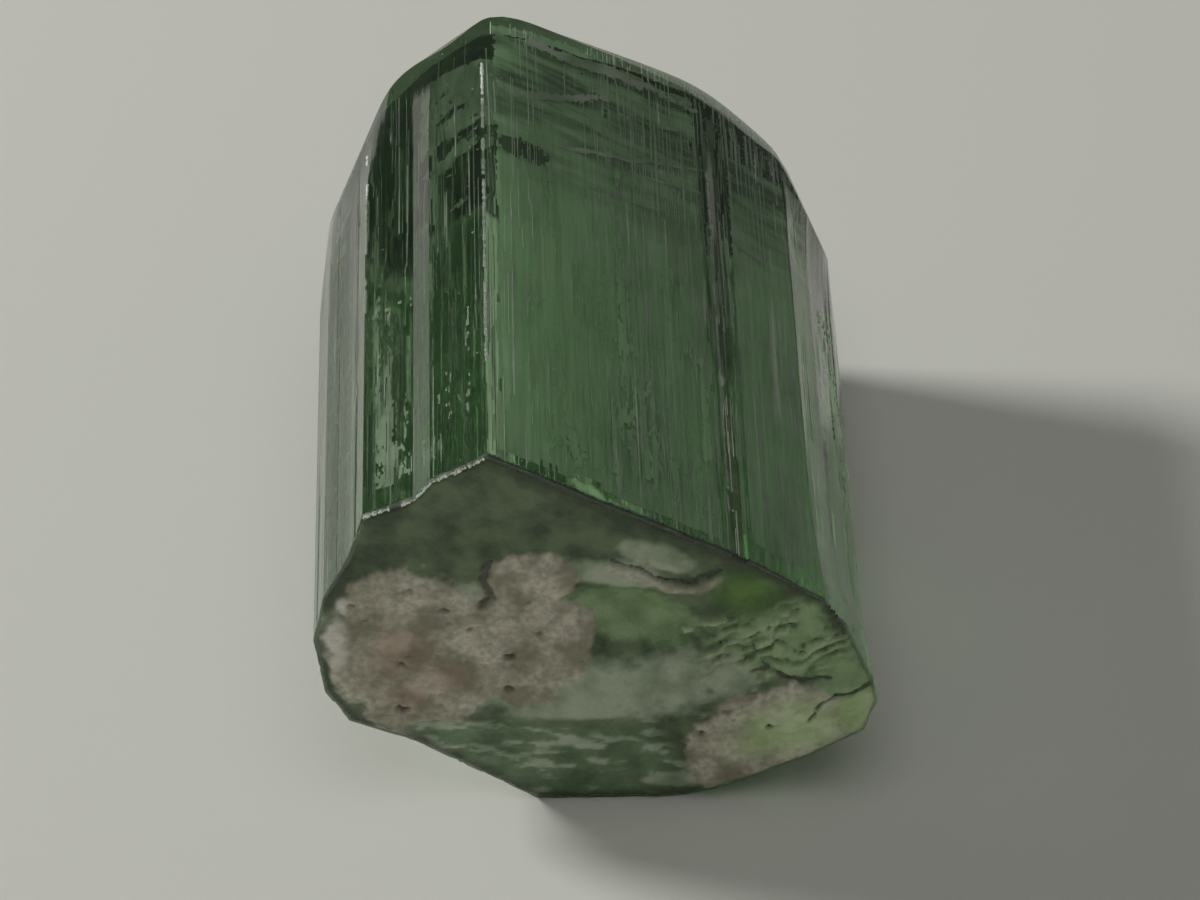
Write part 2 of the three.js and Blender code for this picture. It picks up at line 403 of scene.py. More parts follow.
def ring_faces(ring_count, size):
    """Quads between neighbouring rings, and a fan of triangles at each end, all facing out."""
    faces = []
    for j in range(ring_count - 1):
        here, there = j * size, (j + 1) * size
        faces += [(here + i, there + i, there + (i + 1) % size, here + (i + 1) % size) for i in range(size)]
    last = (ring_count - 1) * size
    near_middle, far_middle = ring_count * size, ring_count * size + 1
    faces += [(near_middle, i, (i + 1) % size) for i in range(size)]
    faces += [(far_middle, last + (i + 1) % size, last + i) for i in range(size)]
    return faces


def slab(name, front, back, kept):
    """A closed slab from two grids of points and the cells to keep. Returns it and the points in use."""
    rows, columns = front.shape[:2]
    number = np.arange(rows * columns).reshape(rows, columns)
    corners = (number[:-1, :-1], number[:-1, 1:], number[1:, 1:], number[1:, :-1])
    faces = np.column_stack([corner[kept] for corner in corners])
    used, faces = np.unique(faces, return_inverse=True)
    faces = faces.reshape(-1, 4)
    sides = np.vstack([faces[:, [i, (i + 1) % 4]] for i in range(4)]).tolist()
    seen = {tuple(side) for side in sides}
    border = sorted(side for side in seen if side[::-1] not in seen)
    walls = [(start, start + len(used), end + len(used), end) for start, end in border]
    points = np.vstack([front.reshape(-1, 3)[used], back.reshape(-1, 3)[used]])
    backs = (faces[:, ::-1] + len(used)).tolist()
    return mesh_object(name, points, faces.tolist() + backs + walls), used


def set_attribute(thing, name, values):
    """Stores one number for each vertex, for the material to read."""
    attribute = thing.data.attributes.new(name, "FLOAT", "POINT")
    attribute.data.foreach_set("value", np.asarray(values, np.float32))


middle_x, middle_z = RING_MIDDLE
crystal_points = np.vstack(
    rings
    + [
        [[middle_x, base_y(middle_x, middle_z), middle_z]],
        [[middle_x, tip_y(middle_x, middle_z), middle_z]],
    ]
)
crystal = mesh_object("crystal", crystal_points, ring_faces(len(rings), len(outline)))
crystal.data.shade_smooth()
SHARP_ANGLE = math.radians(11)
crystal.data.set_sharp_from_angle(angle=SHARP_ANGLE)
print("crystal:", len(crystal.data.polygons), "faces")

# %% Mark which part of the skin is broken and which has grown
ring_number = np.repeat(np.arange(len(rings)), len(outline))
on_base = np.append((ring_number < BASE_RINGS).astype(float), [1, 0])
on_tip = np.append((ring_number >= BASE_RINGS + SIDE_RINGS - 1).astype(float), [0, 1])
facing_down = np.append(np.tile(ramp(0.0, -0.35, outline_normals[:, 1]), len(rings)), [0, 0])
frost = np.maximum(on_base * 0.9, np.maximum(facing_down * (1 - on_tip), on_tip * 0.35))
set_attribute(crystal, "broken", on_base)
set_attribute(crystal, "frost", frost)
print(int(on_base.sum()), "points on the break,", int(on_tip.sum()), "on the termination")

# %% [markdown]
# ## Colour and node helpers
# Finishes are named by their sRGB hex colours, which one function turns into the linear values that Cycles
# works in. One small function adds any node, with its settings and links, so each material reads as a list.


# %% Helpers for materials
def linear(hex_colour, alpha=1.0):
    """An sRGB hex colour as linear red, green, blue and alpha."""
    channels = [int(hex_colour[i : i + 2], 16) / 255 for i in (1, 3, 5)]
    return [c / 12.92 if c <= 0.04045 else ((c + 0.055) / 1.055) ** 2.4 for c in channels] + [alpha]


def add_node(tree, kind, inputs=None, **settings):
    """Adds a node. A value in inputs is a number, a colour or another node's output socket."""
    node = tree.nodes.new(kind)
    for name, value in settings.items():
        setattr(node, name, value)
    for name, value in (inputs or {}).items():
        socket = node.inputs[name]
        if isinstance(value, bpy.types.NodeSocket):
            tree.links.new(value, socket)
        else:
            socket.default_value = value
    return node


def new_material(name):
    """An empty node material and its tree."""
    material = bpy.data.materials.new(name)
    material.use_nodes = True
    material.node_tree.nodes.clear()
    return material, material.node_tree


PAPER = "#e6e6dd"
print("paper white, linear:", [round(c, 3) for c in linear(PAPER)[:3]])

# %% [markdown]
# ## Green tourmaline
# Iron-coloured elbaite, IOR 1.63. The eye gets its green from depth, not from the skin: light that crosses
# more crystal comes out greener and darker. So the skin is clear, and plain absorption inside it takes out
# red and blue. Growth faces are glossy with fine lengthwise lines, and the break is frosted.

# %% Green tourmaline material
TOURMALINE_IOR = 1.63
ABSORBED_PER_METRE = (52.0, 15.0, 62.0)  # red, green, blue
ABSORPTION_DENSITY = 100.0
STRIA_WIDTH = 0.16 * MM  # the finest growth lines, drawn as wide as shows
STRIA_LENGTH = 9 * MM
GLOSSY, FROSTED = 0.10, 0.5


def tourmaline_material():
    material, tree = new_material("green_tourmaline")
    place = add_node(tree, "ShaderNodeTexCoord").outputs["Object"]
    broken = add_node(tree, "ShaderNodeAttribute", attribute_name="broken").outputs["Fac"]
    frost = add_node(tree, "ShaderNodeAttribute", attribute_name="frost").outputs["Fac"]
    lengthwise = add_node(
        tree,
        "ShaderNodeMapping",
        {"Vector": place, "Scale": (1 / STRIA_WIDTH, 1 / STRIA_LENGTH, 1 / STRIA_WIDTH)},
    )
    striae = add_node(
        tree, "ShaderNodeTexNoise", {"Vector": lengthwise.outputs["Vector"], "Scale": 1.0, "Detail": 3.0}
    )
    grain = add_node(tree, "ShaderNodeTexNoise", {"Vector": place, "Scale": 4 / MM, "Detail": 4.0})
    relief = add_node(
        tree,
        "ShaderNodeMix",
        {"Factor": broken, "A": striae.outputs["Fac"], "B": grain.outputs["Fac"]},
        data_type="FLOAT",
    )
    bump = add_node(
        tree,
        "ShaderNodeBump",
        {"Height": relief.outputs["Result"], "Distance": 0.008 * MM, "Strength": 0.8},
    )
    roughness = add_node(
        tree, "ShaderNodeMapRange", {"Value": frost, "To Min": GLOSSY, "To Max": FROSTED}
    )
    skin = add_node(
        tree,
        "ShaderNodeBsdfPrincipled",
        {
            "Base Color": (1, 1, 1, 1),
            "Transmission Weight": 1.0,
            "IOR": TOURMALINE_IOR,
            "Roughness": roughness.outputs["Result"],
            "Normal": bump.outputs["Normal"],
        },
    )
    kept = [1 - absorbed / ABSORPTION_DENSITY for absorbed in ABSORBED_PER_METRE]
    depth_colour = add_node(
        tree, "ShaderNodeVolumeAbsorption", {"Color": (*kept, 1.0), "Density": ABSORPTION_DENSITY}
    )
    add_node(
        tree,
        "ShaderNodeOutputMaterial",
        {"Surface": skin.outputs["BSDF"], "Volume": depth_colour.outputs["Volume"]},
    )
    return material


crystal.data.materials.append(tourmaline_material())
print("10 mm of crystal lets through", [round(math.exp(-a * 0.010), 2) for a in ABSORBED_PER_METRE])

# %% [markdown]
# ## The crusted break
# The break itself is etched dark green, and pale feldspar and clay still cling to it. Together they make
# one thin, granular, opaque layer. It is a slab on a fine grid: its front is the break plus the layer's
# thickness, and its back is buried in the crystal. Near the rim the thickness falls below zero, so the grid
# dives under the glassy skin and its ragged edge is simply where the two surfaces cross.

# %% The layer's zones
PALE_PADS = [  # middle, radii and turn of each pad of pale matrix, in mm and degrees
    ("left body", -4.75, 5.8, 2.5, 2.75, 0),
    ("upper left", -5.1, 7.3, 1.85, 1.3, 10),
    ("upper pad", -1.75, 8.15, 1.35, 0.95, 15),
    ("middle", -1.95, 5.8, 2.0, 2.1, 0),
    ("lower tongue", -5.1, 3.2, 1.2, 0.8, -25),
    ("lower right", 4.7, 2.45, 2.5, 1.75, 18),
    ("right foot", 3.2, 1.15, 0.95, 0.75, 20),
]
GREY_PADS = [  # thin matrix that the green shows through
    ("middle", -0.3, 4.25, 4.2, 1.35, -4),
    ("between", 2.9, 4.6, 1.7, 1.0, 0),
    ("beside the hollow", -1.9, 6.6, 1.3, 1.7, 0),
    ("lens", 1.7, 8.85, 1.35, 0.45, -26),
    ("above the hollow", 0.3, 8.35, 1.7, 0.6, -12),
    ("left top", -3.6, 7.6, 0.9, 0.6, 20),
]
GREEN_PADS = [  # a clear green film
    ("ridges", 4.9, 5.75, 2.5, 1.45, 20),
    ("hollow", 0.8, 6.8, 2.1, 1.15, -18),
    ("right rim", 6.6, 4.6, 1.0, 1.6, 20),
]
OLIVE_PADS = [
    ("olive corner", 3.95, 7.45, 1.35, 0.85, -28),
]
STAIN_PADS = [
    ("brown stain", -4.0, 4.75, 0.8, 0.4, 0),
    ("reddish stain", -4.95, 4.15, 0.6, 0.45, 0),
    ("faint stain", -5.3, 5.7, 0.9, 1.2, 0),
]
# Painted glow: pale green painted on the right and lower right of the break, as if lit through the crystal.
PAINTED_GLOW_PADS = [("right rim", 6.9, 3.3, 1.0, 1.3, 0), ("lower right", 5.2, 2.7, 2.6, 1.6, 15)]
# Painted highlight: near-white painted on the left rim and the lower tongue's edge, where the key light
# falls.
PAINTED_HIGHLIGHT_PADS = [
    ("left rim", -6.95, 6.3, 0.45, 1.2, 0),
    ("left rim, upper", -6.75, 7.4, 0.3, 0.4, 0),
    ("lower tongue's edge", -6.0, 2.95, 0.7, 0.22, -35),
]
# Besides their relief, these strokes take a lighter colour, a painted highlight on their tops.
RAISED_STROKES = [  # ridges of etched crystal that stand out on their own, as end points
    ((3.6, 5.9), (5.1, 6.75)),
    ((4.3, 5.75), (5.1, 6.3)),
    ((4.5, 5.3), (5.5, 5.35)),
    ((2.3, 6.15), (3.3, 6.65)),
    ((5.6, 5.5), (6.4, 6.1)),
    ((5.9, 4.8), (6.6, 5.2)),
    ((2.5, 5.3), (3.1, 5.45)),
]
LENS_CRACK = [(0.4, 8.85), (1.0, 8.55), (1.8, 8.1), (2.45, 7.95), (3.2, 8.35)]
PALE_BAND = [(0.3, 8.55), (1.1, 8.25), (1.9, 7.75), (2.7, 7.7), (3.1, 7.95)]
STEP_CRACK = [(4.1, 4.8), (4.5, 4.9), (4.9, 4.6), (5.4, 4.35), (5.8, 4.5), (6.2, 4.45)]
OPEN_CRACK = [(5.75, 3.0), (5.95, 3.6), (6.35, 3.8), (6.85, 3.8), (7.4, 4.3)]
PAD_NOTCH = [(-2.85, 8.7), (-2.95, 8.2), (-2.8, 7.6), (-3.0, 7.3)]


def cover(pads, x, z, ragged=0.0):
    """Above 0 on any of the pads, below 0 off them."""
    return np.max([1 - reach(x, z, *pad[1:]) for pad in pads], axis=0) + ragged


def distance_inside(x, z, polygon=corner_points):
    """Distance to the outline, in mm: above 0 inside it."""
    nearest = np.full(np.shape(x), np.inf)
    inside = np.zeros(np.shape(x), bool)
    for start, end in zip(polygon, np.roll(polygon, -1, axis=0)):
        edge = end - start
        t = np.clip(((x - start[0]) * edge[0] + (z - start[1]) * edge[1]) / (edge @ edge), 0, 1)
        nearest = np.minimum(nearest, np.hypot(x - start[0] - t * edge[0], z - start[1] - t * edge[1]))
        if edge[1]:
            spans = (start[1] > z) != (end[1] > z)
            inside ^= spans & (x < start[0] + (z - start[1]) * edge[0] / edge[1])
    return np.where(inside, nearest, -nearest)


def distance_to_path(x, z, path):
    """Distance in mm to a path of straight stretches."""
    nearest = np.full(np.shape(x), np.inf)
    for (x0, z0), (x1, z1) in zip(path, path[1:]):
        dx, dz = x1 - x0, z1 - z0
        t = np.clip(((x - x0) * dx + (z - z0) * dz) / (dx * dx + dz * dz), 0, 1)
        nearest = np.minimum(nearest, np.hypot(x - x0 - t * dx, z - z0 - t * dz))
    return nearest


CRUST_CELL = 0.065
grid_x, grid_z = np.meshgrid(
    np.arange(-HALF_WIDTH, HALF_WIDTH + CRUST_CELL, CRUST_CELL),
    np.arange(0, HEIGHT + CRUST_CELL, CRUST_CELL),
)
rim_distance = distance_inside(grid_x, grid_z)
ragged = 0.17 * rough_noise(grid_x / 0.9, grid_z / 0.9, seed=61) + 0.09 * rough_noise(
    grid_x / 0.25, grid_z / 0.25, seed=63
)
wander_x = grid_x + 0.10 * rough_noise(grid_x / 0.3, grid_z / 0.3, seed=79)
wander_z = grid_z + 0.10 * rough_noise(grid_x / 0.3, grid_z / 0.3, seed=81)
chipped = chip_share(grid_x, grid_z)
flakes = rough_noise(grid_x / 0.75, grid_z / 0.26 + grid_x * 0.3, seed=85, octaves=4)
pale_band = 1 - ramp(0.06, 0.26, distance_to_path(wander_x, wander_z, PALE_BAND))
strokes = np.max(
    [1 - ramp(0.02, 0.14, distance_to_path(wander_x, wander_z, stroke)) for stroke in RAISED_STROKES], axis=0
)
strokes = strokes * ramp(-0.5, 0.3, rough_noise(grid_x / 0.3, grid_z / 0.3, seed=89))
# The cracks are real grooves; their dark colour in the dark zone is painted shade inside them.
cracks = np.max(
    [
        weight * (1 - ramp(0.02, width, distance_to_path(wander_x, wander_z, path)))
        for path, width, weight in (
            (LENS_CRACK, 0.08, 0.5),
            (STEP_CRACK, 0.10, 0.6),
            (OPEN_CRACK, 0.08, 0.8),
            (PAD_NOTCH, 0.2, 0.6),
        )
    ],
    axis=0,
)
# Painted shade: a dark band just inside the upper right rim, shade under the rim.
right_rim = corner_points[[0, 20, 19, 18, 17]]
under_rim = 1 - ramp(0.12, 0.5, distance_to_path(grid_x, grid_z, right_rim) + 0.6 * ragged)
under_rim = under_rim * ramp(-2.9, -2.3, grid_x)
left_edge = rim_distance + 0.5 * ragged
bare_left = ramp(-5.4, -6.2, grid_x) * ramp(0.42, 0.14, left_edge) * ramp(5.9, 5.3, grid_z)
upper_left = ramp(-6.0, -6.5, grid_x) * ramp(0.45, 0.2, left_edge) * ramp(6.9, 7.4, grid_z)
lower_edge = chipped * ramp(0.55, 0.1, rim_distance + 0.4 * ragged)
zones = {
    "chipped": chipped,
    "flakes": chipped * ramp(0.05, 0.4, flakes),
    "green": ramp(-0.05, 0.35, cover(GREEN_PADS, grid_x, grid_z, 1.3 * ragged)),
    "olive": ramp(-0.1, 0.6, cover(OLIVE_PADS, grid_x, grid_z, 0.8 * ragged)),
    "grey": ramp(-0.1, 0.35, cover(GREY_PADS, grid_x, grid_z, 1.5 * ragged)) * (1 - chipped),
    "pale": ramp(-0.04, 0.12, cover(PALE_PADS, grid_x, grid_z, 1.2 * ragged)) * (1 - chipped),
    "stain": ramp(-0.3, 0.9, cover(STAIN_PADS, grid_x, grid_z, 2.5 * ragged)),
    # Painted highlight on the left rim, and a painted glow at the right rim.
    "bright": ramp(-0.2, 0.6, cover(PAINTED_HIGHLIGHT_PADS, grid_x, grid_z, 3 * ragged)),
    "glow": ramp(0.0, 0.8, cover(PAINTED_GLOW_PADS, grid_x, grid_z, ragged)),
    "raised": strokes,
    # Dark: painted shade in the cracks and under the upper right rim, and darker along the left and lower
    # rims.
    "dark": np.max([cracks, 0.9 * under_rim, bare_left, 0.8 * upper_left, lower_edge], axis=0),
}
zones["pale"] = np.maximum(zones["pale"] * (1 - 0.9 * zones["olive"]), 0.7 * pale_band)
zones["pale"] = zones["pale"] * (1 - np.maximum(bare_left, upper_left))
for zone, share in zones.items():
    print(f"{zone}: {float((share > 0.5).sum()) * CRUST_CELL**2:.1f} square mm")

# %% [markdown]
# The layer's relief is what makes it read as rock: a raised, granular pale crust with pits, overlapping
# ridges that run up to the right, flakes on the chip and a few open cracks. Each is added to the thickness
# as its own term, and the sum is squeezed so that it never reaches past the front of the crystal's box.

# %% The layer's thickness
SKIN_THICKNESS = 0.05
PALE_THICKNESS = 0.10
PIT_COUNT = 70
BIG_PITS = [  # middle and radius in mm
    (-4.0, 7.2, 0.16),
    (-3.0, 7.45, 0.12),
    (-4.95, 7.85, 0.14),
    (-1.55, 6.3, 0.14),
    (-2.3, 5.5, 0.2),
    (-2.35, 4.3, 0.16),
    (-3.35, 6.5, 0.12),
    (-5.2, 5.3, 0.16),
    (-5.25, 3.65, 0.2),
    (3.0, 4.0, 0.14),
    (4.15, 3.8, 0.13),
    (3.5, 3.3, 0.15),
    (4.6, 2.7, 0.17),
    (2.75, 2.5, 0.17),
    (5.35, 3.25, 0.11),
    (5.05, 6.35, 0.13),
]
RIDGE_SPACING = 0.45
RIDGE_TURN = math.radians(27)


def pits(x, z):
    """How deep the pits go, in mm."""
    draw = np.random.default_rng(71)
    small = zip(
        draw.uniform(-7, 7, PIT_COUNT), draw.uniform(1.5, 9, PIT_COUNT), draw.uniform(0.05, 0.11, PIT_COUNT)
    )
    depth = np.zeros(np.shape(x))
    raggedness = 0.5 * lattice_noise(x / 0.1, z / 0.1, 73)
    for pit_x, pit_z, radius in BIG_PITS + list(small):
        ragged_reach = np.hypot(x - pit_x, (z - pit_z) * 1.6) / radius + raggedness
        depth = np.maximum(depth, 0.8 * radius * (1 - ramp(0.3, 1.3, ragged_reach)))
    return depth


def ridges(x, z):
    """Overlapping steps, each rising slowly and dropping sharply, from 0 to 1."""
    across = -x * math.sin(RIDGE_TURN) + z * math.cos(RIDGE_TURN)
    across = across + 0.5 * rough_noise(x / 0.9, z / 0.9, seed=77)
    across = across + 0.13 * rough_noise(x / 0.25, z / 0.25, seed=78)
    phase = across / RIDGE_SPACING % 1
    return ramp(0.0, 0.8, phase) * (1 - ramp(0.8, 1.0, phase))


pale, grey = zones["pale"], zones["grey"]
grains = rough_noise(grid_x / 0.7, grid_z / 0.7, seed=67, octaves=3)
grains = grains + 0.45 * rough_noise(grid_x / 0.2, grid_z / 0.2, seed=69, octaves=2)
creases = 1 - ramp(0.0, 0.22, np.abs(rough_noise(grid_x / 0.62, grid_z / 0.4, seed=68, octaves=4)))
ridge_share = ramp(-0.1, 0.35, cover(GREEN_PADS[:1], grid_x, grid_z, ragged))
ridge_share = ridge_share * ramp(-0.45, 0.15, rough_noise(grid_x / 0.5, grid_z / 0.5, seed=83))
ridge_height = ridges(grid_x, grid_z)
pit_depth = pits(grid_x, grid_z)
# Painted highlight on the ridge tops and painted shade in the troughs between them.
zones["raised"] = np.maximum(strokes, 0.55 * ridge_share * ramp(0.55, 0.95, ridge_height))
zones["dark"] = np.maximum(zones["dark"], 0.4 * ridge_share * ramp(0.3, 0.0, ridge_height))
thickness = SKIN_THICKNESS + PALE_THICKNESS * pale * (1 - 0.4 * grey) + 0.04 * grey + 0.05 * chipped
thickness = thickness + grains * (0.012 + 0.055 * pale + 0.02 * grey)
thickness = thickness - 0.022 * creases * np.maximum(pale, 0.6 * grey)
thickness = thickness + flakes * 0.07 * chipped
thickness = thickness + ridge_share * (0.16 * ridge_height - 0.04) + 0.13 * strokes
thickness = thickness - pit_depth * np.maximum(pale, np.maximum(0.6 * grey, ridge_share))
thickness = thickness - 0.16 * cracks - 0.05 * zones["dark"]
rim = rim_distance - 0.05 - 0.05 * rough_noise(grid_x / 0.7, grid_z / 0.7, seed=65)
thickness = np.minimum(thickness, -0.05 + 0.9 * ramp(-0.02, 0.6, rim) + 0.5 * rim)
glassy_y = base_y(grid_x, grid_z)
room = glassy_y - BASE_Y
thickness = np.where(thickness > 0, room * np.tanh(thickness / room), thickness)
print("layer: up to", thickness.max().round(2), "mm thick")

# %% The layer as a closed slab
CRUST_BACKING = 0.1


def cells_where(wanted):
    """The grid cells whose four corners are all wanted."""
    return wanted[:-1, :-1] & wanted[1:, :-1] & wanted[:-1, 1:] & wanted[1:, 1:]


front_y = glassy_y - thickness
back_y = np.maximum(glassy_y, front_y) + CRUST_BACKING
crust, crust_points = slab(
    "matrix_crust",
    np.stack([grid_x, front_y, grid_z], axis=-1),
    np.stack([grid_x, back_y, grid_z], axis=-1),
    cells_where(rim_distance > 0.02),
)
# Painted shade in the pits and creases of the pale and grey crust.
zones["recess"] = np.clip(0.12 * creases + 5 * pit_depth, 0, 1) * np.maximum(pale, 0.7 * grey)
for zone, share in zones.items():
    set_attribute(crust, zone, np.tile(share.ravel()[crust_points], 2))
crust.data.shade_smooth()
print("crust:", len(crust.data.polygons), "faces")

# %% [markdown]
# ## Finish of the crusted break
# Feldspar and clay are dull and granular: cream to pinkish beige, darker in the grain's gaps. Etched
# tourmaline is a dark mossy green with a slight satin sheen. Each zone's share is an attribute on the mesh,
# and the zones' colours are laid over the bare green one after another, with two sizes of natural blotches.
# The last few zones are painted light: a painted glow at the right rim, a painted highlight on the left rim
# and on ridge tops, and painted shade in pits, creases, cracks, ridge troughs and under the upper rim.

# %% Matrix material
BARE_BREAK = ("#42563a", "#6d825c")
GRAIN_GAPS = "#8a8b75"
ZONE_COLOURS = [  # in the order they are laid on: zone, and its colour in darker and in lighter blotches
    ("chipped", "#5c7350", "#7d9670"),
    ("flakes", "#8fa384", "#bfcbb2"),
    ("green", "#7b9868", "#9fbc88"),
    ("olive", "#557a38", "#6f954b"),
    ("grey", "#8fa182", "#bfc9ae"),
    ("pale", "#a29d86", "#e3ddca"),
    ("stain", "#9a8b76", "#cbb9a6"),
    # The last five colours are painted light: a painted glow, a painted highlight, a painted highlight on
    # ridge tops, painted shade in pits and creases, and a dark that is painted shade in cracks, ridge
    # troughs and under the upper rim and darker along the left and lower rims.
    ("glow", "#bcd79a", "#e6f5c8"),
    ("bright", "#f3eee0", "#f3eee0"),
    ("raised", "#b9cf9f", "#b9cf9f"),
    ("recess", "#77745f", "#77745f"),
    ("dark", "#414f36", "#414f36"),
]


def matrix_material():
    material, tree = new_material("pale_matrix")
    place = add_node(tree, "ShaderNodeTexCoord").outputs["Object"]
    clouds = add_node(tree, "ShaderNodeTexNoise", {"Vector": place, "Scale": 1.1 / MM, "Detail": 6.0})
    specks = add_node(tree, "ShaderNodeTexNoise", {"Vector": place, "Scale": 5 / MM, "Detail": 5.0})
    contrast = add_node(
        tree,
        "ShaderNodeMapRange",
        {"Value": clouds.outputs["Fac"], "From Min": 0.38, "From Max": 0.62},
    ).outputs["Result"]
    speckle = add_node(
        tree,
        "ShaderNodeMapRange",
        {"Value": specks.outputs["Fac"], "From Min": 0.36, "From Max": 0.6},
    ).outputs["Result"]

    dark_green, light_green = BARE_BREAK
    layers = {"Factor": contrast, "A": linear(dark_green), "B": linear(light_green)}
    colour = add_node(tree, "ShaderNodeMix", layers, data_type="RGBA").outputs["Result"]
    shares = {}
    for zone, darker, lighter in ZONE_COLOURS:
        shares[zone] = add_node(tree, "ShaderNodeAttribute", attribute_name=zone).outputs["Fac"]
        layers = {"Factor": contrast, "A": linear(darker), "B": linear(lighter)}
        blotches = add_node(tree, "ShaderNodeMix", layers, data_type="RGBA").outputs["Result"]
        if zone == "pale":  # granular, so half of the gaps' colour shows between its grains
            layers = {"Factor": 0.5, "A": blotches, "B": linear(GRAIN_GAPS)}
            gaps = add_node(tree, "ShaderNodeMix", layers, data_type="RGBA").outputs["Result"]
            layers = {"Factor": speckle, "A": gaps, "B": blotches}
            blotches = add_node(tree, "ShaderNodeMix", layers, data_type="RGBA").outputs["Result"]
        layers = {"Factor": shares[zone], "A": colour, "B": blotches}
        colour = add_node(tree, "ShaderNodeMix", layers, data_type="RGBA").outputs["Result"]
    bump = add_node(
        tree,
        "ShaderNodeBump",
        {"Height": specks.outputs["Fac"], "Distance": 0.07 * MM, "Strength": 0.9},
    )
    dullness = add_node(
        tree, "ShaderNodeMapRange", {"Value": shares["pale"], "To Min": 0.45, "To Max": 0.9}
    )
    skin = add_node(
        tree,
        "ShaderNodeBsdfPrincipled",
        {"Base Color": colour, "Roughness": dullness.outputs["Result"], "Normal": bump.outputs["Normal"]},
    )
    add_node(tree, "ShaderNodeOutputMaterial", {"Surface": skin.outputs["BSDF"]})
    return material


matrix = matrix_material()
crust.data.materials.append(matrix)
print("matrix:", len(matrix.node_tree.nodes), "nodes")

# %% [markdown]
# ## Painted shade in the groove
# Where the first wing meets the prism, the bottom of the groove lies in shade, and a dark strip paints that
# shade in as a dark line. It is a strip that fills the V to a ragged level, in the same finish as the bare
# break, with a part of the clear green zone's colour mixed in.

# %% Groove fill
FILL_STEP = 0.12
FILL_GREEN = 0.4  # the clear green zone's share in the painted shade strip


def groove_fill(name, depth, fill_depth, seed):
    """A strip along the groove that starts at the named corner, buried to just past the groove's bottom."""
    i = [corner[0] for corner in CORNERS].index(name)
    start, end = corner_points[i], corner_points[(i + 1) % len(CORNERS)]
    along = (end - start) / np.linalg.norm(end - start)
    outward = np.array([along[1], -along[0]])
    lip = np.array([start, start + (end - start) * 0.55, end])
    y = np.arange(base_y(*start) + 0.15, tip_y(*start) - 0.3, FILL_STEP)
    level = fill_depth * (1 + 0.5 * rough_noise(y / 1.7, 0.0, seed=seed))
    share = np.clip(level / depth, 0.05, 0.9)
    front, back = [], []
    for across in (0, 1, 2):
        surface = lip[across] if across != 1 else lip[1] - outward * depth
        top = surface + (lip[1] - outward * depth - surface) * share[:, None]
        if across == 1:
            top = top + outward * (depth - level)[:, None] * 0.8
        front.append(np.column_stack([top[:, 0], y, top[:, 1]]))
        low = top - outward * 0.05 if across != 1 else lip[1] - outward * (depth + 0.05) + 0 * top
        back.append(np.column_stack([low[:, 0], y, low[:, 1]]))
    front, back = np.array(front), np.array(back)
    strip, points = slab(name.replace(" ", "_") + "_fill", front, back, np.ones((2, len(y) - 1), bool))
    set_attribute(strip, "green", np.full(2 * len(points), FILL_GREEN))
    strip.data.materials.append(matrix)
    return strip


# Painted shade: a dark strip in the bottom of the first wing's groove.
groove_painted_shade = groove_fill("first wing", GROOVES["first wing"], 0.16, seed=91)
print("groove fill:", len(groove_painted_shade.data.polygons), "faces")

# %% [markdown]
# ## What is sealed in the crystal
# Clear tourmaline is never empty. Hair-thin growth tubes run along it by the thousand, healed cracks lie in
# it as ragged veils, and fine specks follow its growth zones. They catch the light inside, which a clear
# block of glass can't do. Thousands of alike things on surfaces are work for Geometry Nodes: points are
# scattered over invisible carrier sheets, one small shape is set on each, and the instances are made real.


# %% Carrier sheets inside the crystal
ZONE_SCALES = (0.62, 0.76, 0.86, 0.92, 0.96)
ZONE_ROWS = 40


def growth_zones():
    """Nested tubes of faces inside the prism, each its outline shrunk towards the middle."""
    points, faces, rooms = [], [], []
    count = len(outline)
    for scale in ZONE_SCALES:
        flat = RING_MIDDLE + (outline - RING_MIDDLE) * scale
        near, far = base_y(flat[:, 0], flat[:, 1]) + 0.25, tip_y(flat[:, 0], flat[:, 1]) - 0.3
        first = len(points) * count
        for t in np.linspace(0, 1, ZONE_ROWS):
            points.append(np.column_stack([flat[:, 0], near + t * (far - near), flat[:, 1]]))
            rooms.append(np.minimum(t, 1 - t) * (far - near))
        for j in range(ZONE_ROWS - 1):
            here, there = first + j * count, first + (j + 1) * count
            for i in range(count):
                following = (i + 1) % count
                faces.append((here + i, there + i, there + following, here + following))
    points, rooms = np.vstack(points), np.concatenate(rooms)
    carrier = mesh_object("growth_zones", points, faces)
    x, y, z = points.T
    clouds = ramp(-0.6, 0.5, rough_noise(x / 1.6 + z / 3.0, y / 6.0, seed=95))
    under_right = ramp(-3.2, -2.4, x) * (0.25 + 0.75 * ramp(-1.0, 2.0, x)) * ramp(4.0, 6.0, z)
    set_attribute(carrier, "room", rooms * MM)
    set_attribute(carrier, "milk", (0.05 + 0.95 * under_right) * (0.35 + 0.65 * clouds))
    # Where the dark needles lie, under the left faces: partly dark lines, partly painted shade.
    set_attribute(carrier, "shade", ramp(-2.4, -3.0, x) * ramp(3.0, 6.0, z) * (0.3 + 0.7 * clouds))
    return carrier


carrier = growth_zones()
print("carrier:", len(carrier.data.polygons), "faces")


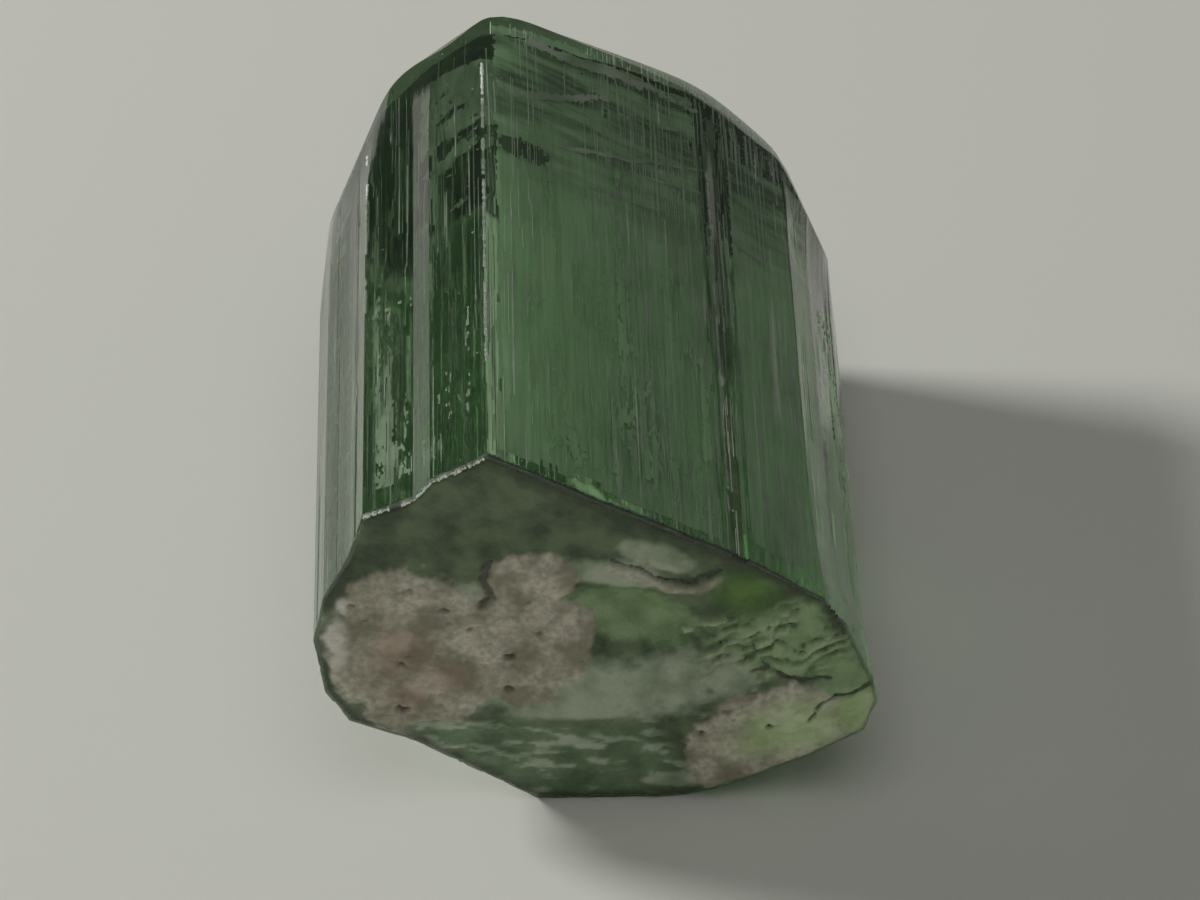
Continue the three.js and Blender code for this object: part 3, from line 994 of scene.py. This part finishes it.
# %% A Geometry Nodes tree that scatters one small shape
def scatter_tree(name, shape_kind, shape_inputs, lengthwise):
    """Points on the carrier, as dense as the attribute named Where says, with one shape on each, made real.

    Lengthwise shapes lie along Y and are never longer than the room that the carrier says they have.
    """
    tree = bpy.data.node_groups.new(name, "GeometryNodeTree")
    for label, kind in (
        ("Carrier", "NodeSocketGeometry"),
        ("Density", "NodeSocketFloat"),
        ("Where", "NodeSocketString"),
        ("Smallest", "NodeSocketVector"),
        ("Largest", "NodeSocketVector"),
        ("Seed", "NodeSocketInt"),
        ("Finish", "NodeSocketMaterial"),
    ):
        tree.interface.new_socket(label, in_out="INPUT", socket_type=kind)
    tree.interface.new_socket("Shapes", in_out="OUTPUT", socket_type="NodeSocketGeometry")
    given = add_node(tree, "NodeGroupInput").outputs
    where = add_node(tree, "GeometryNodeInputNamedAttribute", {"Name": given["Where"]}, data_type="FLOAT")
    density = add_node(
        tree, "ShaderNodeMath", {0: given["Density"], 1: where.outputs["Attribute"]}, operation="MULTIPLY"
    )
    points = add_node(
        tree,
        "GeometryNodeDistributePointsOnFaces",
        {"Mesh": given["Carrier"], "Density": density.outputs["Value"], "Seed": given["Seed"]},
    )
    shape = add_node(tree, shape_kind, shape_inputs)
    sizes = add_node(
        tree,
        "FunctionNodeRandomValue",
        {"Min": given["Smallest"], "Max": given["Largest"], "Seed": given["Seed"]},
        data_type="FLOAT_VECTOR",
    )
    sockets = {
        "Points": points.outputs["Points"],
        "Instance": shape.outputs["Mesh"],
        "Rotation": points.outputs["Rotation"],
        "Scale": sizes.outputs["Value"],
    }
    if lengthwise:
        room = add_node(tree, "GeometryNodeInputNamedAttribute", {"Name": "room"}, data_type="FLOAT")
        parts = add_node(tree, "ShaderNodeSeparateXYZ", {"Vector": sizes.outputs["Value"]})
        length = add_node(
            tree,
            "ShaderNodeMath",
            {0: parts.outputs["Z"], 1: room.outputs["Attribute"]},
            operation="MINIMUM",
        )
        fitted = add_node(
            tree,
            "ShaderNodeCombineXYZ",
            {"X": parts.outputs["X"], "Y": parts.outputs["Y"], "Z": length.outputs["Value"]},
        )
        sockets["Scale"] = fitted.outputs["Vector"]
        sockets["Rotation"] = (math.pi / 2, 0, 0)
    shapes = add_node(tree, "GeometryNodeInstanceOnPoints", sockets)
    real = add_node(tree, "GeometryNodeRealizeInstances", {"Geometry": shapes.outputs["Instances"]})
    finished = add_node(
        tree, "GeometryNodeSetMaterial", {"Geometry": real.outputs["Geometry"], "Material": given["Finish"]}
    )
    add_node(tree, "NodeGroupOutput", {"Shapes": finished.outputs["Geometry"]})
    return tree


def grow(name, carrier, tree, **values):
    """Runs a tree on the carrier and returns its result as a plain mesh object."""
    modifier = carrier.modifiers.new("grow", "NODES")
    modifier.node_group = tree
    for item in tree.interface.items_tree:
        if item.in_out == "INPUT" and item.name in values:
            modifier[item.identifier] = values[item.name]
    evaluated = carrier.evaluated_get(bpy.context.evaluated_depsgraph_get())
    mesh = bpy.data.meshes.new_from_object(evaluated)
    carrier.modifiers.remove(modifier)
    mesh.name = name
    thing = bpy.data.objects.new(name, mesh)
    bpy.context.scene.collection.objects.link(thing)
    print(f"{name}: {len(mesh.polygons)} faces")
    return thing


# %% Milky and dark inclusion finishes
def inclusion_material(name, low, high):
    material, tree = new_material(name)
    place = add_node(tree, "ShaderNodeTexCoord").outputs["Object"]
    cloud = add_node(tree, "ShaderNodeTexNoise", {"Vector": place, "Scale": 0.8 / MM, "Detail": 3.0})
    share = add_node(
        tree, "ShaderNodeMapRange", {"Value": cloud.outputs["Fac"], "From Min": 0.35, "From Max": 0.65}
    )
    colour = add_node(
        tree,
        "ShaderNodeMix",
        {"Factor": share.outputs["Result"], "A": linear(low), "B": linear(high)},
        data_type="RGBA",
    )
    skin = add_node(
        tree,
        "ShaderNodeBsdfPrincipled",
        {"Base Color": colour.outputs["Result"], "Roughness": 0.5},
    )
    add_node(tree, "ShaderNodeOutputMaterial", {"Surface": skin.outputs["BSDF"]})
    return material


milky = inclusion_material("milky_growth_tubes", "#bfdcb3", "#eef8e8")
veiled = inclusion_material("healed_crack_veil", "#9dbb8e", "#e0eed6")
# Painted shade: the dark green of sheets and needles set in the crystal to darken faces that look dark.
shadowed = inclusion_material("painted_shade_sheets", "#4c6940", "#66875a")

# %% [markdown]
# The milk under the faces is green, and it isn't even: fine streaks run along it near the base, and wavy
# bands cross it towards the far end. Each pattern is a noise stretched to its own real size, and how far
# along the prism a point lies says which pattern it shows.

# %% Green milk
MILK_TONES = ("#2f5228", "#d2ffc4")
MILK_PATTERNS = [  # name, bumps to a mm along each axis, detail, turn, and which noise gives which tones
    ("streaks", (8, 0.2, 8), 3.0, 0.0, (0.4, 0.6), (0.7, 1.0)),
    ("clouds", (0.7, 0.4, 0.7), 4.0, 0.0, (0.35, 0.6), (0.8, 1.0)),
    ("bands", (0.4, 1.9, 0.4), 5.0, -0.3, (0.4, 0.6), (0.0, 0.75)),
]
STREAKS_END, BANDS_FULL = 1.5, 6.0  # places along Y, in mm


def green_milk_material():
    material, tree = new_material("green_milk")
    place = add_node(tree, "ShaderNodeTexCoord").outputs["Object"]
    tones = {}
    for name, bumps, detail, turn, noise_range, tone_range in MILK_PATTERNS:
        scale = [count / MM for count in bumps]
        sockets = {"Vector": place, "Rotation": (0, 0, turn), "Scale": scale}
        turned = add_node(tree, "ShaderNodeMapping", sockets)
        sockets = {"Vector": turned.outputs["Vector"], "Scale": 1.0, "Detail": detail}
        noise = add_node(tree, "ShaderNodeTexNoise", sockets)
        sockets = {"Value": noise.outputs["Fac"], "From Min": noise_range[0], "From Max": noise_range[1]}
        sockets.update({"To Min": tone_range[0], "To Max": tone_range[1]})
        tones[name] = add_node(tree, "ShaderNodeMapRange", sockets).outputs["Result"]
    parts = add_node(tree, "ShaderNodeSeparateXYZ", {"Vector": place})
    sockets = {"Value": parts.outputs["Y"], "From Min": STREAKS_END * MM, "From Max": BANDS_FULL * MM}
    far = add_node(tree, "ShaderNodeMapRange", sockets).outputs["Result"]
    sockets = {"Factor": 0.5, "A": tones["streaks"], "B": tones["clouds"]}
    near_tone = add_node(tree, "ShaderNodeMix", sockets, data_type="FLOAT").outputs["Result"]
    sockets = {"Factor": 0.25, "A": tones["bands"], "B": tones["streaks"]}
    far_tone = add_node(tree, "ShaderNodeMix", sockets, data_type="FLOAT").outputs["Result"]
    sockets = {"Factor": far, "A": near_tone, "B": far_tone}
    tone = add_node(tree, "ShaderNodeMix", sockets, data_type="FLOAT").outputs["Result"]
    sockets = {"Factor": tone, "A": linear(MILK_TONES[0]), "B": linear(MILK_TONES[1])}
    colour = add_node(tree, "ShaderNodeMix", sockets, data_type="RGBA").outputs["Result"]
    skin = add_node(tree, "ShaderNodeBsdfPrincipled", {"Base Color": colour, "Roughness": 0.5})
    add_node(tree, "ShaderNodeOutputMaterial", {"Surface": skin.outputs["BSDF"]})
    return material


green_milk = green_milk_material()
print("green milk:", len(green_milk.node_tree.nodes), "nodes")

# %% Specks and tubes
SQUARE_MM = MM * MM
flat_speck = scatter_tree(
    "flat speck", "GeometryNodeMeshUVSphere", {"Segments": 3, "Rings": 2, "Radius": 1.0}, lengthwise=False
)
growth_tube = scatter_tree(
    "growth tube", "GeometryNodeMeshCylinder", {"Vertices": 5, "Radius": 1.0, "Depth": 2.0}, lengthwise=True
)
zone_specks = grow(
    "zone_specks",
    carrier,
    flat_speck,
    Density=6.0 / SQUARE_MM,
    Where="milk",
    Smallest=(0.02 * MM, 0.02 * MM, 0.005 * MM),
    Largest=(0.06 * MM, 0.06 * MM, 0.015 * MM),
    Seed=11,
    Finish=milky,
)
growth_tubes = grow(
    "growth_tubes",
    carrier,
    growth_tube,
    Density=3.6 / SQUARE_MM,
    Where="milk",
    Smallest=(0.008 * MM, 0.008 * MM, 0.3 * MM),
    Largest=(0.022 * MM, 0.022 * MM, 2.6 * MM),
    Seed=12,
    Finish=milky,
)
# Dark needles under the left faces: partly the dark lines these faces show, partly painted shade that
# darkens them.
dark_needles_and_painted_shade = grow(
    "dark_needles_and_painted_shade",
    carrier,
    growth_tube,
    Density=1.6 / SQUARE_MM,
    Where="shade",
    Smallest=(0.006 * MM, 0.006 * MM, 0.4 * MM),
    Largest=(0.024 * MM, 0.024 * MM, 2.8 * MM),
    Seed=14,
    Finish=shadowed,
)
bpy.data.objects.remove(carrier)

# %% [markdown]
# ## The milky underside
# The prism glows because light that comes in through its left faces is scattered back up from below. The
# faces it lies on are etched to a thin milky skin, patchy, and closest under the right side. It is a ragged
# sheet just inside the glassy surface, made like the crust: two grids, and only the cells that noise
# leaves.

# %% Milky skin under the lower faces
FILM_DEPTH, FILM_THICKNESS = 0.03, 0.02
FILM_ROWS = 130
FILM_FROM, FILM_TO = 9, 15  # corners


def corner_index(corner):
    """Which point of the outline a corner is."""
    return int(np.argmin(np.linalg.norm(outline - corner_points[corner], axis=1)))


def milky_underside():
    columns = slice(corner_index(FILM_FROM), corner_index(FILM_TO) + 1)
    sheets = {depth: [] for depth in (FILM_DEPTH, FILM_DEPTH + FILM_THICKNESS)}
    for share in np.linspace(0.02, 0.96, FILM_ROWS):
        flat = side_outline(share)[columns]
        near, far = base_y(flat[:, 0], flat[:, 1]), tip_y(flat[:, 0], flat[:, 1])
        for depth, rows in sheets.items():
            buried = flat - outline_normals[columns] * depth
            rows.append(np.column_stack([buried[:, 0], near + share * (far - near), buried[:, 1]]))
    outside, inside = (np.array(rows) for rows in sheets.values())
    x, y = outside[..., 0], outside[..., 1]
    patches = 0.35 * rough_noise(x / 0.9, y / 2.2, seed=97) + 0.7 * lattice_noise(x / 0.13, y / 0.2, seed=98)
    wanted = patches > -0.38 - 0.12 * ramp(-2, 3, x)
    return slab("milky_underside", outside, inside, cells_where(wanted))[0]


underside = milky_underside()
underside.data.materials.append(inclusion_material("etched_milky_skin", "#d5e6cb", "#f2f7ec"))
print("underside:", len(underside.data.polygons), "faces")

# %% [markdown]
# ## Milk, streaks, veils and painted shade under the faces
# The crystal is cloudy. Green milk with fine streaks lies under its upper and right faces. Towards the far
# end it breaks into pale wavy bands that climb to the right, with dark gaps between them. The dark veils and
# films under the central, left, wing, right side and far left faces are painted shade that darkens those
# faces. Real cloudiness fills a volume, but a film close under each face hides as much and stays a plain
# mesh. Each film or veil is a thin closed plate parallel to a face, so it is placed by the face, by shares
# of its width and by its place along the prism, and noise eats its gaps. One more dark sheet follows the
# termination as painted shade, and keeps that end dark.

# %% Where the films and veils lie
VEIL_CELL = 0.05
PLATE_THICKNESS = 0.015
BASE_MARGIN, TIP_MARGIN, SIDE_MARGIN = 0.2, 0.3, 0.06  # how far a plate stays from the crystal's skin, in mm
LEVEL_CHANGE = 0.25  # how much a plate's depth varies, as a share of it
WALL_CELL = 0.11
WALL_DEPTH = 0.7
WALL_MARGIN = 0.14
WALL_ACROSS, WALL_UP = (-7.4, 7.5), (0.2, 12.5)
FACES = {  # the corners that each face runs between
    "central": (0, 20),
    "left": (3, 2),
    "left upper": (2, 0),
    "wing": (19, 18),
    "outer wing": (18, 17),
    "right side": (17, 16),
    "far left": (5, 4),
}
LIGHT_VEILS = [  # face, share where it starts and ends, place along Y at both, half height and depth, in mm
    ("central", 0.02, 0.98, 8.6, 8.7, 0.28, 0.12),
    ("central", 0.12, 0.58, 5.7, 7.4, 0.22, 0.2),
    ("central", 0.62, 0.97, 6.9, 7.6, 0.12, 0.25),
    ("central", 0.30, 0.99, 4.2, 5.9, 0.10, 0.2),
    ("central", 0.60, 0.99, 4.2, 5.0, 0.07, 0.25),
    ("central", 0.45, 0.85, 2.9, 3.5, 0.10, 0.3),
    ("central", 0.02, 0.20, 4.0, 3.7, 0.05, 0.1),
    ("central", 0.05, 0.16, 4.8, 5.0, 0.12, 0.08),
    ("wing", 0.15, 0.95, 5.6, 5.0, 0.10, 0.08),
    ("wing", 0.05, 0.6, 3.4, 3.2, 0.14, 0.12),
    ("outer wing", 0.1, 0.9, 2.9, 2.6, 0.08, 0.06),
]
# Painted shade: dark plates under the central face and the wing.
PAINTED_SHADE_VEILS = [
    ("central", 0.03, 0.30, 3.5, 3.6, 0.5, 0.26),
    ("central", 0.12, 0.30, 1.9, 1.9, 0.4, 0.45),
    ("wing", 0.1, 0.9, 4.3, 4.1, 0.5, 0.4),
]
CLOUDY_FILMS = [  # face, the shares and the places along Y it runs between, cover at both ends, and depth
    ("central", 0.03, 0.99, -9.9, 1.6, 1.2, 1.1, 0.38),
    ("wing", 0.06, 0.96, -9.5, 0.6, 1.0, 0.9, 0.32),
    ("outer wing", 0.06, 0.96, -9.4, 0.2, 1.0, 0.9, 0.27),
]
BANDED_FILMS = [
    ("central", 0.03, 0.99, 0.3, 9.4, 1.0, 0.85, 0.35),
]
WING_FILMS = [
    ("wing", 0.06, 0.96, -0.6, 7.5, 1.0, 0.8, 0.3),
    ("outer wing", 0.06, 0.96, -0.9, 6.5, 1.0, 0.8, 0.25),
]
STREAKED_FILMS = [
    ("central", 0.02, 0.10, -8.5, 4.8, 0.5, 0.8, 0.15),
    ("central", 0.15, 0.97, -9.6, 5.2, 0.4, 0.25, 0.2),
    ("right side", 0.05, 0.95, -9.0, 4.0, 0.8, 0.4, 0.2),
]
PALE_STREAKS = [
    ("central", 0.02, 0.10, 0.3, 5.2, 0.6, 0.9, 0.1),
    ("left", 0.05, 0.95, -9.5, -0.5, 0.5, 0.25, 0.35),
    ("left upper", 0.10, 0.95, -9.5, -3.0, 0.3, 0.15, 0.3),
]
# Painted shade: dark films under the upper left, wing, right side and far left faces.
PAINTED_SHADE_FILMS = [
    ("left upper", 0.05, 0.98, 0.5, 7.5, 0.3, 0.7, 0.9),
    ("wing", 0.05, 0.96, 0.5, 6.0, 0.3, 0.6, 0.6),
    ("right side", 0.05, 0.95, -4.0, 5.0, 0.4, 0.8, 0.4),
    ("far left", 0.05, 0.95, -8.0, 5.0, 0.3, 0.3, 0.4),
]
CLOUDS = (0.8, 2.5, 0.1, 0.09, 0.26)  # size across and along a face, how dotted, both cell sizes, in mm
STREAKS = (0.16, 3.5, 0.3, 0.045, 0.13)
BANDS = (1.3, 0.3, 0.12, 0.042, 0.09)
print(len(LIGHT_VEILS) + len(PAINTED_SHADE_VEILS), "veils")


# %% Plates under a prism face
def face_frame(face):
    """Where a face starts, the way across it, the way into the crystal, and its width."""
    near, far = corner_points[FACES[face][0]], corner_points[FACES[face][1]]
    width = np.linalg.norm(far - near)
    along = (far - near) / width
    inward = RING_MIDDLE - (near + far) / 2
    inward = inward - along * (inward @ along)
    return near, along, inward / np.linalg.norm(inward), width


def plate(name, face, s, y, level, wanted):
    """A thin closed plate under a face, at the given places across, along and below it."""
    near, along, inward, _ = face_frame(face)
    flat = near + along * s[..., None] + inward * level[..., None]
    x, z = flat[..., 0], flat[..., 1]
    inside = (y > base_y(x, z) + BASE_MARGIN) & (y < tip_y(x, z) - TIP_MARGIN)
    inside &= distance_inside(x, z, worn_outline[::3]) > SIDE_MARGIN
    front = np.stack([x, y, z], axis=-1)
    back = front + np.array([inward[0], 0, inward[1]]) * PLATE_THICKNESS
    return slab(name, front, back, wanted[:-1, :-1] & cells_where(inside))[0]


def growth_film(name, face, start, end, start_y, end_y, cover_near, cover_far, depth, pattern, seed):
    """A milky or dark film under a face, broken up into clouds, streaks or bands."""
    size_across, size_along, dotted, cell_across, cell_along = pattern
    width = face_frame(face)[3]
    s, y = np.meshgrid(
        np.arange(start * width, end * width, cell_across), np.arange(start_y, end_y, cell_along)
    )
    t = (y - start_y) / (end_y - start_y)
    u = (s / width - start) / (end - start)
    gaps = 0.65 * rough_noise(s / size_across, (y - 0.35 * s) / size_along, seed=seed)
    gaps = gaps + 0.3 * rough_noise(s / 0.8, y / 0.7, seed=seed + 9)
    gaps = gaps + dotted * lattice_noise(s / 0.05, y / 0.14, seed + 13)
    share = cover_near + (cover_far - cover_near) * ramp(0.2, 0.9, t)
    share = share * ramp(0, 0.04, t) * ramp(1, 0.95, t) * ramp(0, 0.08, u) * ramp(1, 0.94, u)
    level = depth + LEVEL_CHANGE * depth * rough_noise(s / 1.2, y / 3.0, seed=seed + 3)
    return plate(name, face, s, y, level, gaps < 1.6 * share - 0.8)


def ragged_plate(name, face, start, end, start_y, end_y, half_height, depth, seed):
    """A plate under a face, with edges eaten away by noise."""
    width = face_frame(face)[3]
    columns = max(6, round((end - start) * width / VEIL_CELL))
    rows = max(6, round(2.6 * half_height / VEIL_CELL))
    t, h = np.meshgrid(np.linspace(0, 1, columns), np.linspace(-1.3, 1.3, rows))
    s = (start + t * (end - start)) * width
    wave = 0.5 * half_height + 0.08
    y = start_y + t * (end_y - start_y) + h * half_height + wave * rough_noise(s / 1.4, 0.0, seed=seed)
    level = depth + LEVEL_CHANGE * depth * rough_noise(s / 0.8, y / 0.8, seed=seed + 3)
    eaten = 0.5 * rough_noise(s / 0.5, y / 0.35, seed=seed + 6)
    eaten = eaten + 0.7 * rough_noise(s / 0.08, y / 0.12, seed=seed + 9)
    wanted = 1 - np.abs(h) ** 1.5 - 0.6 * (1 - ramp(0, 0.25, t) * ramp(1, 0.75, t)) + eaten > 0.35
    return plate(name, face, s, y, level, wanted)


def join(name, things, material):
    """Joins plain meshes into one object with one finish."""
    with bpy.context.temp_override(active_object=things[0], selected_editable_objects=things):
        bpy.ops.object.join()
    things[0].name = name
    things[0].data.materials.append(material)
    return things[0]


def end_wall():
    """A dark sheet just inside the termination, painted shade that keeps it dark."""
    x, z = np.meshgrid(np.arange(*WALL_ACROSS, WALL_CELL), np.arange(*WALL_UP, WALL_CELL))
    y = tip_y(x, z) - WALL_DEPTH - 0.12 * (1 + rough_noise(x / 1.2, z / 1.2, seed=881))
    wanted = distance_inside(x, z, worn_outline) > WALL_MARGIN
    front = np.stack([x, y, z], axis=-1)
    return slab("end_wall", front, front + [0, 0.02, 0], cells_where(wanted))[0]


def films(name, places, pattern, seed):
    """All the films of one list."""
    return [growth_film(f"{name}_{i}", *place, pattern, seed + 17 * i) for i, place in enumerate(places)]


def veils(name, places, seed):
    """All the ragged plates of one list."""
    return [ragged_plate(f"{name}_{i}", *place, seed + 11 * i) for i, place in enumerate(places)]


# %% The sealed sheets
streaky = inclusion_material("pale_growth_streaks", "#98b48d", "#c0d9b6")
shallow_milk = films("clouds", CLOUDY_FILMS, CLOUDS, 400) + films("streaks", STREAKED_FILMS, STREAKS, 430)
sealed_sheets = (
    join("light_veils", veils("light", LIGHT_VEILS, 300), veiled),
    join("pale_streaks", films("pale", PALE_STREAKS, STREAKS, 550), streaky),
    join("milky_clouds", shallow_milk, green_milk),
    join("milky_bands", films("bands", BANDED_FILMS, BANDS, 470), green_milk),
    join("milky_wings", films("wings", WING_FILMS, BANDS, 500), green_milk),
    # Painted shade: the dark veils and films, and the dark end wall below.
    join("painted_shade_veils", veils("dark", PAINTED_SHADE_VEILS, 600) + films("gaps", PAINTED_SHADE_FILMS, BANDS, 700), shadowed),
    join("painted_shade_end_wall", [end_wall()], shadowed),
)
for sheet in sealed_sheets:
    print(f"{sheet.name}: {len(sheet.data.polygons)} faces")

# %% [markdown]
# ## Chips along the edges
# Handling has bruised the sharp edges into rows of tiny pale flakes, and their near-white also stands in as
# painted glints where the edges catch the light. They follow paths, so Geometry Nodes set a small angular
# grain on points along each edge, only where a noise field says that the edge was knocked.

# %% Edge paths
def sunk(point, depth=0.05):
    """A point of the outline, moved a little towards the middle so that its chip stays in the box."""
    inward = RING_MIDDLE - point
    return point + inward / np.linalg.norm(inward) * depth


def prism_edge(corner, start_y, end_y, step=0.1):
    """Points along a lengthwise edge."""
    i = corner_index(corner)
    path = []
    for y in np.arange(start_y, end_y, step):
        x, z = sunk(side_outline((y - BASE_Y) / (TIP_Y - BASE_Y))[i])
        path.append((x, y, z))
    return path


def base_edge(first, last):
    """Points along the front rim, from one corner to another, counter-clockwise."""
    rim = side_outline(0.0)
    i, j = corner_index(first), corner_index(last)
    return [(x, base_y(x, z), z) for x, z in map(sunk, rim[i : j + 1])]


def path_object(name, paths):
    """One mesh of edges only, a chain for each path."""
    points, edges = [], []
    for path in paths:
        edges += [(len(points) + i, len(points) + i + 1) for i in range(len(path) - 1)]
        points += path
    mesh = bpy.data.meshes.new(name)
    mesh.from_pydata((np.array(points) * MM).tolist(), edges, [])
    thing = bpy.data.objects.new(name, mesh)
    bpy.context.scene.collection.objects.link(thing)
    return thing


# %% A Geometry Nodes tree that sets chips along paths
def chip_tree():
    tree = bpy.data.node_groups.new("chips along edges", "GeometryNodeTree")
    for label, kind in (
        ("Paths", "NodeSocketGeometry"),
        ("Spacing", "NodeSocketFloat"),
        ("Smallest", "NodeSocketVector"),
        ("Largest", "NodeSocketVector"),
        ("Cluster size", "NodeSocketFloat"),
        ("Bare share", "NodeSocketFloat"),
        ("Seed", "NodeSocketInt"),
        ("Finish", "NodeSocketMaterial"),
    ):
        tree.interface.new_socket(label, in_out="INPUT", socket_type=kind)
    tree.interface.new_socket("Chips", in_out="OUTPUT", socket_type="NodeSocketGeometry")
    given = add_node(tree, "NodeGroupInput").outputs
    curve = add_node(tree, "GeometryNodeMeshToCurve", {"Mesh": given["Paths"]})
    points = add_node(
        tree,
        "GeometryNodeCurveToPoints",
        {"Curve": curve.outputs["Curve"], "Length": given["Spacing"]},
        mode="LENGTH",
    )
    frequency = add_node(tree, "ShaderNodeMath", {0: 1.0, 1: given["Cluster size"]}, operation="DIVIDE")
    clusters = add_node(tree, "ShaderNodeTexNoise", {"Scale": frequency.outputs["Value"], "Detail": 2.0})
    knocked = add_node(
        tree,
        "FunctionNodeCompare",
        {"A": clusters.outputs["Fac"], "B": given["Bare share"]},
        data_type="FLOAT",
        operation="GREATER_THAN",
    )
    stone = add_node(tree, "GeometryNodeMeshIcoSphere", {"Radius": 1.0, "Subdivisions": 1})
    sizes = add_node(
        tree,
        "FunctionNodeRandomValue",
        {"Min": given["Smallest"], "Max": given["Largest"], "Seed": given["Seed"]},
        data_type="FLOAT_VECTOR",
    )
    turns = add_node(
        tree,
        "FunctionNodeRandomValue",
        {"Min": (-0.3, -0.3, -0.3), "Max": (0.3, 0.3, 0.3), "Seed": given["Seed"]},
        data_type="FLOAT_VECTOR",
    )
    chips = add_node(
        tree,
        "GeometryNodeInstanceOnPoints",
        {
            "Points": points.outputs["Points"],
            "Selection": knocked.outputs["Result"],
            "Instance": stone.outputs["Mesh"],
            "Rotation": turns.outputs["Value"],
            "Scale": sizes.outputs["Value"],
        },
    )
    real = add_node(tree, "GeometryNodeRealizeInstances", {"Geometry": chips.outputs["Instances"]})
    finished = add_node(
        tree, "GeometryNodeSetMaterial", {"Geometry": real.outputs["Geometry"], "Material": given["Finish"]}
    )
    add_node(tree, "NodeGroupOutput", {"Chips": finished.outputs["Geometry"]})
    return tree


# %% Bruised edges
# Painted glints: the near-white of the chips stands in partly for light the worn edges catch.
bruised_and_glints = inclusion_material("bruised_edge_and_glints", "#b9c9ae", "#f4f6ee")
edge_paths = path_object(
    "edge_paths",
    [
        prism_edge(0, -6.5, 6.5),
        prism_edge(3, -2.0, 5.0),
        prism_edge(20, -8.5, 6.0),
        prism_edge(17, -8.0, 3.0),
        base_edge(0, 3),
    ],
)
edge_chips = grow(
    "edge_chips",
    edge_paths,
    chip_tree(),
    Spacing=0.07 * MM,
    Smallest=(0.02 * MM, 0.02 * MM, 0.012 * MM),
    Largest=(0.065 * MM, 0.13 * MM, 0.04 * MM),
    **{"Cluster size": 0.9 * MM, "Bare share": 0.4},
    Seed=21,
    Finish=bruised_and_glints,
)
bpy.data.objects.remove(edge_paths)

# %% [markdown]
# ## Floor
# The crystal lies on matt off-white paper. One large square is enough, and it lies a hair lower than the
# crystal's lowest points, so that no two surfaces share a plane.

# %% Floor
FLOOR_SIZE = 900 * MM
FLOOR_GAP = 0.00002
floor = mesh_object(
    "floor",
    np.array([(-1, -1, 0), (1, -1, 0), (1, 1, 0), (-1, 1, 0)]) * FLOOR_SIZE / 2 / MM,
    [(0, 1, 2, 3)],
)
floor.location.z = -FLOOR_GAP


def paper_material():
    material, tree = new_material("matt_pale_paper")
    skin = add_node(
        tree, "ShaderNodeBsdfPrincipled", {"Base Color": linear(PAPER), "Roughness": 0.95}
    )
    add_node(tree, "ShaderNodeOutputMaterial", {"Surface": skin.outputs["BSDF"]})
    return material


floor.data.materials.append(paper_material())
print("floor:", round(FLOOR_SIZE / MM), "mm square")

# %% [markdown]
# ## Light
# A small softbox stands low on the left, a little behind the base, so light goes into the crystal through
# its left faces and the shadow falls to the right. A wide, weak one overhead gives the upper faces their
# sheen, and a faint white room lifts the shadow. The Standard view keeps colours as they were named.

# %% Light
SOFTBOXES = [  # name, azimuth and elevation in degrees, distance and size in metres, and power in watts
    ("key_softbox", -110, 27, 0.5, 0.11, 1.9),
    ("overhead_softbox", 0, 74, 0.6, 0.5, 0.5),
]
ROOM_STRENGTH = 0.10


def softbox(name, azimuth, elevation, distance, size, power):
    """A round area lamp that faces the middle of the crystal."""
    lamp = bpy.data.objects.new(name, bpy.data.lights.new(name, "AREA"))
    lamp.data.shape = "DISK"
    lamp.data.size = size
    lamp.data.energy = power
    target = Vector((0, 0, HEIGHT / 2 * MM))
    aim(lamp, target + towards(math.radians(azimuth), math.radians(elevation)) * distance, target)
    print(f"{name}: {power} W")


for lamp_values in SOFTBOXES:
    softbox(*lamp_values)
world = bpy.data.worlds.new("soft_grey_room")
world.use_nodes = True
world.node_tree.nodes["Background"].inputs["Color"].default_value = linear("#ffffff")
world.node_tree.nodes["Background"].inputs["Strength"].default_value = ROOM_STRENGTH
bpy.context.scene.world = world
bpy.context.scene.view_settings.view_transform = "Standard"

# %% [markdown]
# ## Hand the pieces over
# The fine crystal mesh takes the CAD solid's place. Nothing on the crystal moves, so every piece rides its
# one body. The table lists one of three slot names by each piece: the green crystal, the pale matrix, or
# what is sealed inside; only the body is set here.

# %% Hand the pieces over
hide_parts(NODE)
PIECE_SLOTS = (
    (crystal, "green_tourmaline"),
    (crust, "pale_matrix"),
    (groove_painted_shade, "pale_matrix"),
    (edge_chips, "pale_matrix"),
    (zone_specks, "sealed_inclusions"),
    (growth_tubes, "sealed_inclusions"),
    (dark_needles_and_painted_shade, "sealed_inclusions"),
    (underside, "sealed_inclusions"),
    *((sheet, "sealed_inclusions") for sheet in sealed_sheets),
)
for piece, slot_name in PIECE_SLOTS:
    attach(piece, "root")
print(len(PIECE_SLOTS), "pieces handed over")
